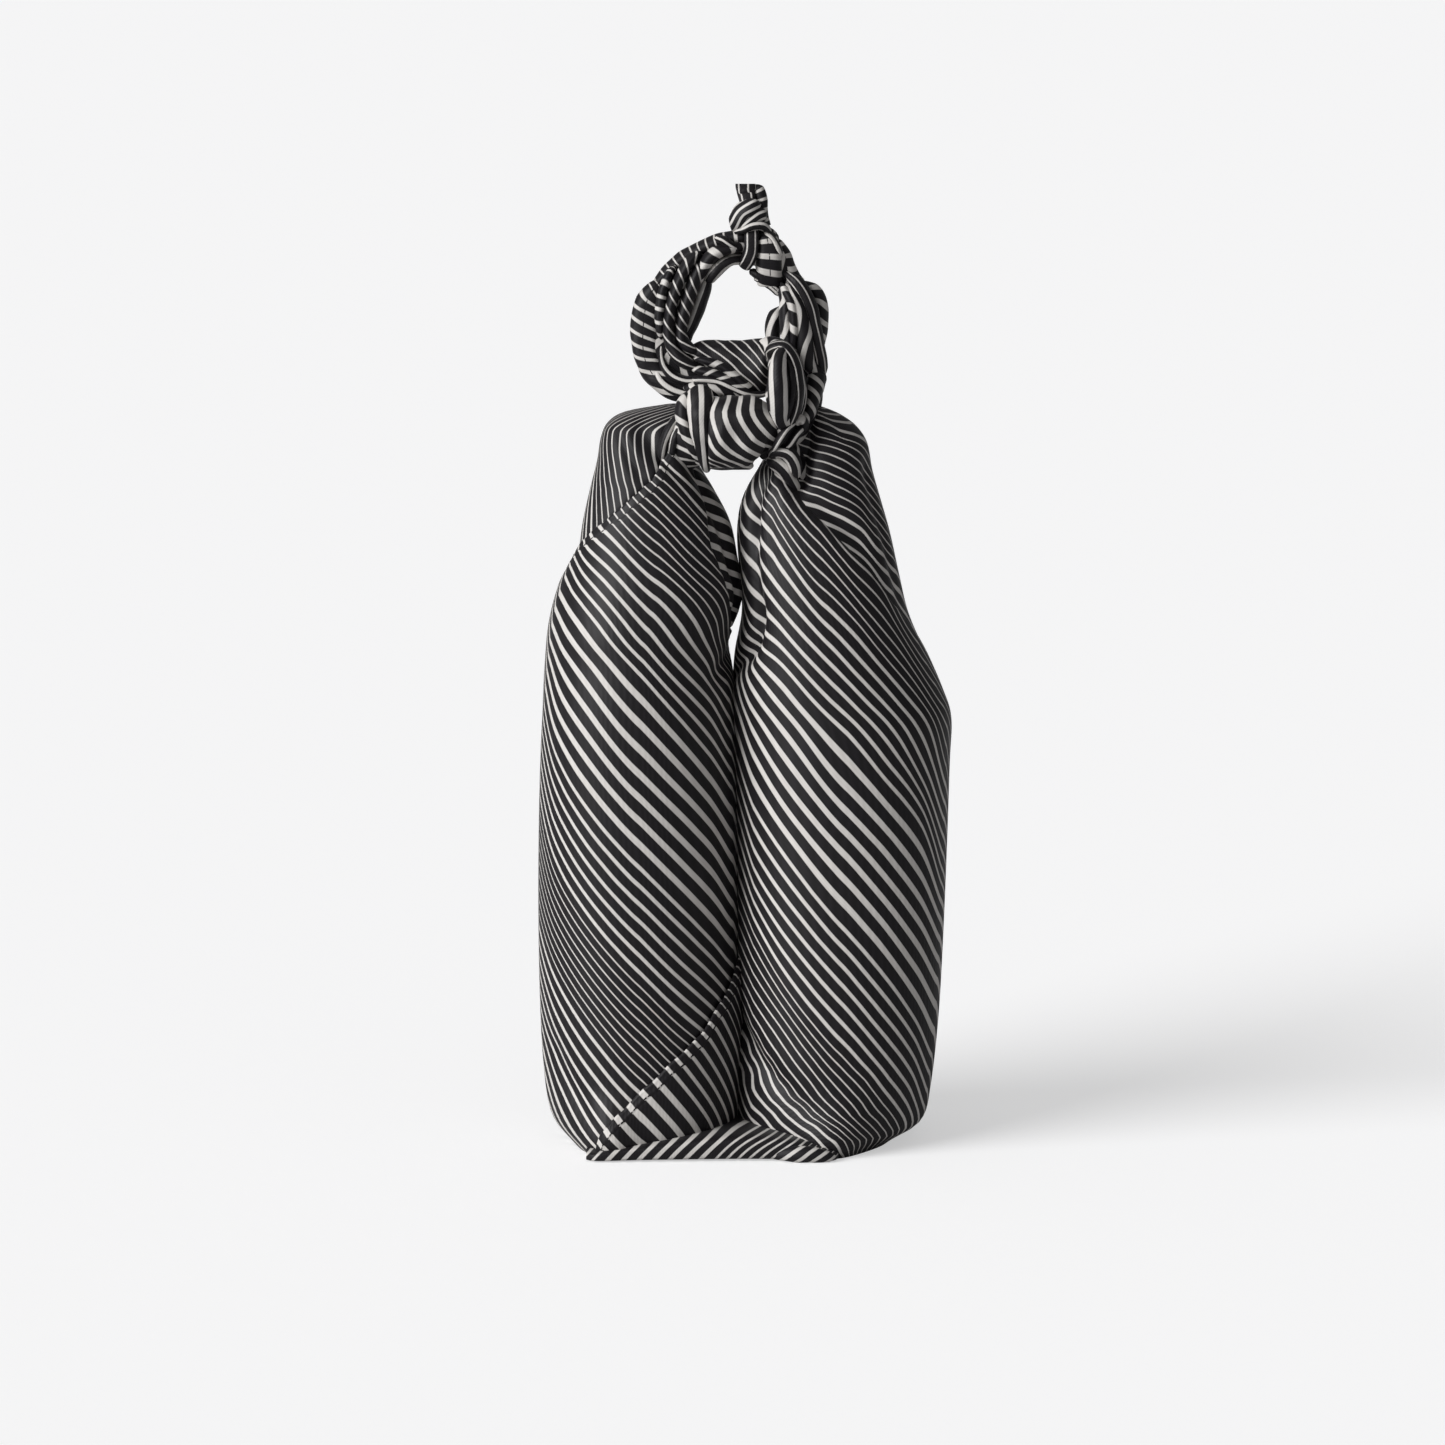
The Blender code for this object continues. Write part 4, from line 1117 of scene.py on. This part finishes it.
mainKnotLobes = (
    ("barrelEnd", 2.2, 0.12, 0.05, ((-21.8, -16, 317.2, 4.6, 12, 66, -0.45),
     (-24.9, -21, 314, 6.3, 13, 71.2, -0.5), (-25.7, -24, 309.3, 6.3, 13, 76.4, -0.55),
     (-24.2, -25, 303.6, 5.9, 13, 82.5, -0.6), (-21.8, -24, 297.7, 5.9, 13, 89, -0.6),
     (-18.9, -20, 291.9, 4.6, 11, 96, -0.5))),
    ("neckFoldOuter", 2, 0.15, 0.12, ((-34.6, -20, 289.8, 3.4, 7, 61.5, 0.9),
     (-34, -21, 294.9, 4, 8, 61.6, 1), (-32.7, -21, 299.5, 4.2, 8, 61.6, 1),
     (-30.5, -20, 303.9, 4.2, 8, 61.6, 1), (-27.6, -17, 307.7, 3.4, 8, 61.6, 0.9))),
    ("neckFoldInner", 2, 0.15, 0.12, ((-30.1, -21, 292, 3.4, 7, 109.3, 0.9),
     (-29.6, -22, 296.7, 3.8, 8, 109.2, 1), (-28.4, -22, 300.8, 4, 8, 109.2, 1),
     (-26.3, -20, 304.7, 3.8, 8, 109.2, 1))),
    ("barrelWedge", 2.4, 0.05, 0.08, ((-18.5, -19, 317.5, 10.9, 15, 73.2, 1.05),
     (-18.3, -24, 313, 12.2, 16, 72.9, 1.1), (-18.1, -26.5, 306.7, 11.3, 17, 73.1, 1.2),
     (-17.6, -26.5, 300.1, 8.8, 15, 73.3, 1.3), (-16.8, -23, 293, 5.9, 13, 73.8, 1.3),
     (-16, -16, 287.7, 4.2, 10, 74, 1.2))),
    ("underBand", 2, 0.08, 0.1, ((-22.7, -14, 295.4, 5, 12, 92, 0.6), (-17.3, -18, 291.2, 7.6, 14, 90, 0.8),
     (-11.1, -20, 289.8, 7.6, 14, 88, 0.9), (-4, -19, 289.3, 6.3, 13, 86.5, 0.9),
     (3, -15, 287.6, 3.8, 10, 86.5, 0.9))),
    ("loopLeft", 2.1, 0.08, 0.06, ((16.2, -24, 303.5, 3.4, 10, 83.1, 0.9),
     (14.4, -30, 309.5, 6.3, 13, 83, 0.95), (14, -33, 315.6, 8.4, 15, 83, 1),
     (13.8, -34, 322.3, 9.2, 15, 83, 0.95), (13.6, -33, 328.4, 8, 14, 83, 0.95),
     (14, -30, 333.4, 5.9, 12, 83, 1), (15.7, -26, 337.2, 4.2, 9, 83, 1))),
    ("loopRight", 2.1, 0.05, 0.1, ((10.2, -20, 335, 3.4, 9, 12.3, 1), (12, -25, 337.7, 4.2, 11, 12.3, 1),
     (15.7, -27, 338.1, 4.6, 12, 12.3, 1), (18.7, -27.5, 335.2, 5.2, 12, 12.3, 1),
     (20.8, -27.5, 330.3, 5.5, 12, 12.3, 1), (21.6, -28, 324.2, 5.9, 12, 11.9, 1),
     (21.8, -28, 317.6, 5.9, 13, 11.6, 1), (20.6, -28, 311.4, 5, 13, 11.4, 1),
     (17.8, -25, 304.4, 3.4, 10, 11.2, 1))),
    ("loopDark", 2, 0.1, 0.1, ((17.3, -26, 334.7, 3.8, 9, 89.5, 0.9),
     (18.7, -29, 328.4, 4.6, 11, 89.6, 0.8), (19.3, -30, 321.9, 5, 12, 89.6, 0.8),
     (18.7, -30, 315.3, 5, 12, 89.6, 0.8), (17.3, -28, 308.5, 3.4, 10, 89.6, 0.8))),
    ("pinchFold1", 2, 0.1, 0.1, ((18.6, -26, 305, 2.9, 9, 111.3, 1), (16.3, -30, 302.9, 3.8, 9, 111.4, 1),
     (14.4, -31, 300.1, 3.8, 9, 111.4, 1), (12.4, -28, 296.5, 2.9, 8, 111.4, 1))),
    ("pinchFold2", 2, 0.15, 0.15, ((22.8, -22, 302.9, 3.4, 8, 111.3, 1),
     (20.7, -27, 300.9, 3.8, 9, 111.3, 1), (18.6, -27, 298, 3.8, 9, 111.3, 1),
     (15.7, -25, 295.3, 3.4, 8, 111.3, 1))),
    ("pinchArc", 2, 0.15, 0.1, ((12.1, -22, 293.3, 3.8, 9, 72.6, 1.2), (14.9, -26, 294.6, 5.5, 12, 72, 1.3),
     (18, -26.5, 293.4, 6.5, 13, 71.8, 1.3), (20.3, -25, 289.9, 6.1, 13, 71.8, 1.3),
     (21.4, -21, 284.9, 4.6, 10, 71.9, 1.3))),
    ("pinchFill", 2, 0.15, 0.2, ((10.4, -19, 290.5, 5, 9, 73, 1), (13.3, -22, 289.6, 7.1, 11, 72.2, 1.05),
     (16.4, -23, 286.8, 7.1, 11, 71.9, 1.05), (19.3, -20, 282.3, 5.5, 10, 72.1, 1.05),
     (22.1, -15, 277.2, 3.4, 8, 72.6, 1))),
    ("smallKnot", 2, 0.1, 0.1, ((21.1, -23, 303.8, 2.9, 7, 69.5, 0.1), (22.3, -25, 307.5, 3.8, 8, 73, 0.1),
     (24.2, -25, 306.7, 4, 8, 75.2, 0.1), (24.4, -24, 304.1, 3.8, 8, 77.4, 0.1),
     (22.1, -23.5, 302.8, 3.8, 8, 79.7, 0.1), (19.1, -21, 302.8, 2.5, 6, 81.8, 0.1))),
    ("pinchBack", 2, 0, 0, ((6.3, -16, 293.1, 6.7, 12, 90, 0.5), (12.5, -17, 296.5, 9.2, 16, 89, 0.5),
     (17.9, -15, 299.6, 10.9, 16, 89, 0.5), (22.9, -11, 303.4, 8.4, 14, 90, 0.5),
     (27.1, -6, 308.7, 6.7, 12, 90, 0.5))),
)
handleLeftLobes = (
    ("outerFlat", 2.9, 0.1, 0.1, ((-31.8, -1, 364.8, 5.5, 9, 13, -0.3), (-36.3, -3, 360, 8, 12, 26, -0.35),
     (-39.5, -3.5, 354.6, 11.3, 13, 32.2, -0.4), (-40.5, -4, 348.4, 12.6, 13, 38.9, -0.42),
     (-41.1, -4, 342.2, 12.2, 13, 44.8, -0.42), (-41.1, -4, 336, 11.3, 13, 51, -0.44),
     (-39.9, -4, 330.1, 10.9, 14, 56.8, -0.48), (-36.8, -4.5, 324.8, 10.9, 14, 61, -0.6),
     (-31.8, -5.5, 320.3, 10.5, 14, 64.2, -0.8), (-25.6, -6.5, 317.5, 9.2, 13, 66.8, -0.95),
     (-19, -6, 317, 6.7, 12, 67.3, -0.95), (-12.7, -4, 317.2, 5, 10, 68, -0.9))),
    ("blockPleatLeft", 2.2, 0.12, 0.15, ((-27.6, -4, 370.4, 2.9, 7, 16, -0.1),
     (-31.3, -7, 366.1, 3.4, 8, 32.9, -0.1), (-33.4, -9, 360.9, 3.8, 8, 38.2, -0.1),
     (-34.6, -9.5, 355.5, 4.2, 8, 43.5, -0.1), (-35.3, -9.5, 349.7, 4.2, 8, 49, -0.1),
     (-35.1, -8.5, 343.8, 3.8, 8, 54.5, -0.1), (-34.3, -7, 337.9, 2.9, 7, 60, -0.1))),
    ("topOuter", 2.2, 0.1, 0.05, ((-38.4, -1, 356.5, 3.8, 10, -8, -0.05),
     (-35.5, -2, 362.4, 5, 11, -2, -0.05), (-31, -2, 367.5, 5.9, 12, 4.5, 0),
     (-25.6, -2, 372.1, 6.3, 12, 11.2, 0), (-19.8, -2, 375.4, 6.3, 12, 17, 0),
     (-14, -2.5, 378.1, 6.3, 12, 23, 0), (-8.2, -3, 380, 6.3, 12, 28.5, 0),
     (-2.4, -3, 381.1, 5.9, 12, 34, 0), (2.2, -3, 381.1, 5, 11, 38, 0))),
    ("rope1", 2, 0.08, 0.12, ((-17.3, -4, 375.8, 3.4, 8, -1.5, -0.5),
     (-21.8, -7, 372.3, 4.6, 10, 2.1, -0.5), (-25.3, -8.5, 367.4, 5, 11, 6.3, -0.5),
     (-27.8, -9.5, 361.7, 5, 11, 10.9, -0.5), (-29.7, -9.5, 355.9, 5, 11, 15.3, -0.5),
     (-31.1, -9.5, 350.1, 5, 11, 19, -0.5), (-31.5, -9.5, 343.9, 5.2, 11, 22.2, -0.6),
     (-30.5, -9.5, 337.3, 5.5, 11, 25.6, -0.7), (-27.2, -10, 332, 5.9, 11, 27.6, -0.8),
     (-22.2, -10, 328.6, 5.5, 11, 28.6, -0.95), (-16.5, -8, 327.2, 3.8, 9, 29, -0.95))),
    ("rope2", 2, 0.08, 0.12, ((-13.1, -3, 375.3, 3.4, 8, -2, -0.5), (-16.9, -6, 371.4, 4.6, 9, 1.5, -0.5),
     (-19.7, -8, 366.2, 5.5, 10, 5.4, -0.55), (-22, -8.5, 360.4, 5.9, 11, 9.5, -0.55),
     (-23.9, -8.5, 354.6, 6.1, 11, 13.6, -0.55), (-25.5, -8.5, 348.8, 5.9, 11, 17.8, -0.55),
     (-26.4, -8.5, 343.4, 5.5, 11, 21.5, -0.6), (-25.5, -9, 338.5, 5.5, 11, 24.6, -0.7),
     (-22.2, -9.5, 335.2, 5, 10, 26.6, -0.9), (-17.3, -8, 333.4, 3.8, 9, 27.3, -0.95))),
    ("innerDark", 2, 0.1, 0.12, ((-15.2, -2, 364.8, 3.8, 10, 68.2, 0.9),
     (-16.7, -3, 359.1, 5.5, 12, 68.6, 0.9), (-18.9, -3.5, 352.5, 5.9, 12, 68.8, 0.9),
     (-21.4, -4, 345.9, 5.5, 12, 68.8, 0.9), (-23.5, -5, 340.6, 4.2, 11, 69, 0.9),
     (-23.5, -7, 336.2, 3.4, 9, 69, 0.9))),
    ("topPatches", 2, 0.02, 0.1, ((1.3, -4, 377, 3.8, 9, 58, 0.2), (-2.8, -6, 377.2, 4.6, 9, 62, 0.2),
     (-7.3, -8, 376.5, 5, 10, 68.2, 0.25), (-11.5, -9, 375.1, 5.5, 10, 73.4, 0.3),
     (-15.2, -8.5, 372, 5.5, 10, 78.4, 0.35), (-17.9, -7, 367.3, 5, 10, 83.6, 0.35),
     (-19.3, -4, 362.1, 3.8, 9, 89, 0.3))),
    ("topInner", 2.1, 0.02, 0.1, ((2.2, -1, 371.8, 4.6, 8, 40.2, 1), (-1.1, -3, 372, 5, 8, 40.2, 1),
     (-5.7, -6, 371.8, 5, 9, 40, 1), (-9.4, -7, 369.8, 5.5, 9, 39.8, 1),
     (-12.7, -6.5, 366.4, 5.5, 9, 39.8, 1), (-15.2, -4, 362.5, 3.8, 8, 39.8, 1))),
    ("foldLoop", 2, 0.2, 0.2, ((-11.9, -7, 380.9, 2.5, 6, 30.9, 1), (-9, -9.5, 380.3, 3.8, 7, 32.6, 1.3),
     (-6.1, -9.5, 378.4, 3.8, 7, 32.8, 1.3), (-3.2, -7, 376.6, 2.9, 6, 33, 1))),
    ("sweep1", 2.1, 0.1, 0.12, ((-33.9, -3, 340, 2.1, 8, 60.6, 0.9), (-34.7, -6, 333.7, 2.5, 9, 60.6, 1),
     (-33.4, -8.5, 328.1, 3.8, 9, 60.6, 1), (-29.7, -10, 324.1, 4.6, 9, 60.5, 1),
     (-24.3, -11, 322.1, 4.2, 9, 60.4, 1), (-18.9, -10.5, 322.5, 3.8, 8, 60.4, 1),
     (-13.6, -8, 323, 2.9, 7, 60.4, 1))),
    ("sweep2", 2.1, 0.1, 0.12, ((-36, -3, 334.2, 2.1, 8, 73.6, 0.95),
     (-36.6, -5, 327.7, 2.9, 9, 73.6, 0.95), (-34.7, -8, 322.6, 4.2, 10, 73.6, 1),
     (-30.5, -10, 319.1, 4.8, 10, 73.5, 1), (-25.1, -11, 317.3, 4.8, 10, 73.4, 1),
     (-19.8, -11.5, 317.8, 4.2, 9, 74.8, 1), (-14.8, -10, 319.1, 3.4, 8, 76, 1))),
    ("under1", 2, 0.15, 0.15, ((-21, -10, 331.5, 3.4, 8, 61, -0.4), (-15.2, -12, 330.5, 3.8, 8, 64, -0.5),
     (-9.4, -13, 328.5, 3.8, 8, 69.6, -0.6), (-4.4, -13.5, 324.8, 4, 8, 74.5, -0.6),
     (0.1, -13, 321, 3.6, 8, 80, -0.6), (5.1, -11, 318.4, 2.5, 7, 85, -0.5))),
    ("under2", 2, 0.15, 0.15, ((-22.7, -11, 327.5, 3.8, 8, 30.5, -0.5),
     (-16.9, -13, 326.4, 3.8, 8, 35.2, -0.6), (-11.5, -14, 324.9, 4, 8, 40, -0.7),
     (-6.1, -14.5, 322.2, 4, 8, 44.8, -0.7), (-0.7, -14, 319.1, 3.6, 8, 49, -0.8),
     (4.7, -11, 316.7, 2.9, 7, 53, -0.8))),
    ("under3", 2, 0.12, 0.12, ((-22.7, -11, 322.9, 3.4, 8, 47.2, 0.9),
     (-16.9, -13.5, 323.2, 3.8, 8, 47.3, 0.9), (-11.1, -14.5, 322.2, 4, 8, 46.8, 0.9),
     (-5.7, -15, 319.8, 4, 8, 46.6, 0.9), (0.1, -14.5, 317.5, 3.6, 8, 46.8, 0.9),
     (6.3, -12, 316.6, 2.9, 7, 47, 0.9), (11.3, -10, 317.8, 2.1, 6, 47, 0.9))),
    ("under4", 2, 0.12, 0.15, ((-25.1, -11, 319.2, 3.8, 9, 66.5, 0.5),
     (-19.7, -14, 319.9, 5, 10, 73.3, 0.7), (-15.2, -15, 319.2, 5.2, 10, 77, 0.7),
     (-11.1, -15.5, 318.6, 5, 10, 79.9, 0.7), (-6.1, -14.5, 317.5, 3.8, 9, 84.5, 0.6),
     (0.1, -12, 316, 2.5, 7, 89, 0.5))),
)
barrelShape = (
    (-16.8, -22, 302.1, 25.2, 26, 0, 0), (-13.5, -22, 302.1, 28.6, 29, 0, 0),
    (-8.6, -22.5, 301.9, 29.8, 31, 0, 0), (-3.6, -23, 302.4, 29.8, 31, 0, 0),
    (1.3, -23, 303, 28.6, 30, 0, 0), (5.4, -23, 303, 25.2, 28, 0, 0), (9.2, -22.5, 302.1, 18.5, 24, 0, 0),
    (12.5, -22, 299.6, 10.1, 17, 0, 0), (15.4, -21, 297.4, 5, 12, 0, 0),
)
barrelStripes = stripeTable((-16, -11.1, -6.1, -1.2, 3.7, 8.7, 13.6), (
    (317.3, -0.9, 0.09, 1.08, 2.08, 3.04, 4.08, 5.1), (311.6, -0.4, 0.54, 1.41, 2.25, 3.11, 3.96, 4.8),
    (306.2, -0.5, 0.34, 1.15, 1.88, 2.63, 3.37, 4.1), (300, -1.18, -0.09, 0.59, 1.26, 1.94, 2.55, 3.15),
    (295.9, -1.45, -0.68, 0.08, 0.68, 1.22, 1.71, 2.2), (291.8, -2.1, -1.44, -0.78, -0.11, 0.5, 1.1, 1.7),
    (288.9, -3.2, -2.44, -1.7, -0.94, -0.19, 0.5, 1.17),
), 73.25, 6.5)
rollShape = (
    (-22.7, -7, 333.8, 5, 10, 0, 0), (-18.5, -6.5, 333.7, 9.2, 14, 0, 0),
    (-13.6, -6, 332.4, 12.6, 16, 0, 0), (-7.7, -6, 331.2, 15.1, 18, 0, 0),
    (-1.9, -6, 329.9, 17.6, 19, 0, 0), (3.9, -6.5, 328.7, 21, 20, 0, 0), (8.8, -8, 328, 22.7, 20, 0, 0),
    (13.4, -9, 327.3, 21, 18, 0, 0),
)
rollStripes = stripeTable((-22.6, -16, -9.4, -2.8, 3.8, 10.4), (
    (340.1, -0.5, 0.6, 1.67, 3, 4.23, 5.5), (337.2, -1, -0.03, 0.94, 2.2, 3.5, 4.9),
    (331, -2.7, -1.55, -0.4, 0.72, 2.2, 3.9), (324.8, -3.7, -2.6, -1.45, -0.33, 0.79, 2.4),
    (318.5, -4.9, -3.8, -2.6, -1.5, -0.4, 0.8),
), 8.5, 3.4)

knotPiece("mainKnot", mainKnotLobes, (
    clothLobe(barrelShape, 2.1, 0.06, 0.1, placeOnCloth=barrelStripes),
    strandCore(leftEnd, 0, 9, 20),
    strandCore(rightEnd, 0, 6, 66),
))
knotPiece("handleRight", handleRightLobes, (strandCore(leftEnd, 8, 20, 66),))
knotPiece("handleLeft", handleLeftLobes, (
    clothLobe(rollShape, 2.1, 0, 0.1, placeOnCloth=rollStripes),
    strandCore(rightEnd, 6, 21, 30),
))
knotPiece("topKnot", topKnotLobes, ())
print("knotted ends made")


# floor, light and camera

stageSettings = {
    "floorColour": (0.6, 0.6, 0.603, 1),
    "floorGlow": 0.49,
    "glowColour": (1, 1, 1.005, 1),
    "floorReach": 30,
    "sweep": 0.913,
    "worldLight": 0.15,
    "worldColour": (1, 1, 1.01, 1),
    # name, bearing, height in degrees, softness in degrees, strength
    "lamps": (("keyLight", 213, 23, 40, 3.65), ("topLight", 235, 70, 110, 0.33)),
    "cameraRaise": 9.0,
    "cameraDistance": 2.4,
    "lookAt": (-0.0092, 0.0, 0.1772),
    "lens": 142.4,
    "sensorWidth": 36,
}


def linkToScene(name, data):
    made = bpy.data.objects.new(name, data)
    bpy.context.scene.collection.objects.link(made)
    return made


def makeFloor():
    mesh = bmesh.new()
    bmesh.ops.create_grid(mesh, x_segments=1, y_segments=1, size=stageSettings["floorReach"])
    data = bpy.data.meshes.new("floor")
    mesh.to_mesh(data)
    mesh.free()
    paper = bpy.data.materials.new("paleFloor")
    paper.use_nodes = True
    tree = paper.node_tree
    shader = tree.nodes["Principled BSDF"]
    shader.inputs["Base Color"].default_value = stageSettings["floorColour"]
    shader.inputs["Roughness"].default_value = 1.0
    shader.inputs["Specular IOR Level"].default_value = 0.0
    # the paper is bright to the eye but throws little light back
    shader.inputs["Emission Color"].default_value = stageSettings["glowColour"]
    path = tree.nodes.new("ShaderNodeLightPath")
    glow = linkMath(tree, "MULTIPLY", path.outputs["Is Camera Ray"], stageSettings["floorGlow"])
    tree.links.new(glow, shader.inputs["Emission Strength"])
    data.materials.append(paper)
    linkToScene("floor", data)


def makeWorld():
    world = bpy.data.worlds.new("studio")
    bpy.context.scene.world = world
    world.use_nodes = True
    tree = world.node_tree
    back = tree.nodes["Background"]
    back.inputs["Color"].default_value = stageSettings["worldColour"]
    # the paper sweep behind is brighter than the light it gives
    path = tree.nodes.new("ShaderNodeLightPath")
    dim, bright = stageSettings["worldLight"], stageSettings["sweep"]
    seen = rampBetween(tree, path.outputs["Is Camera Ray"], 0, 1, dim, bright)
    tree.links.new(seen, back.inputs["Strength"])


def makeLamps():
    for name, bearing, raised, spread, power in stageSettings["lamps"]:
        lamp = bpy.data.lights.new(name, "SUN")
        lamp.angle = math.radians(spread)
        lamp.energy = power
        turn, up = math.radians(bearing), math.radians(raised)
        towards = Vector((math.cos(turn) * math.cos(up), math.sin(turn) * math.cos(up), math.sin(up)))
        linkToScene(name, lamp).rotation_euler = towards.to_track_quat("Z", "Y").to_euler()


def makeCamera():
    camera = bpy.data.cameras.new("camera")
    camera.lens = stageSettings["lens"]
    camera.sensor_width = stageSettings["sensorWidth"]
    raised = math.radians(stageSettings["cameraRaise"])
    away = stageSettings["cameraDistance"]
    holder = linkToScene("camera", camera)
    behind = Vector((0, -away * math.cos(raised), away * math.sin(raised)))
    holder.location = Vector(stageSettings["lookAt"]) + behind
    holder.rotation_euler = (math.pi / 2 - raised, 0, 0)
    bpy.context.scene.camera = holder
    bpy.context.scene.view_settings.view_transform = "Standard"


makeFloor()
makeWorld()
makeLamps()
makeCamera()
print("stage made")
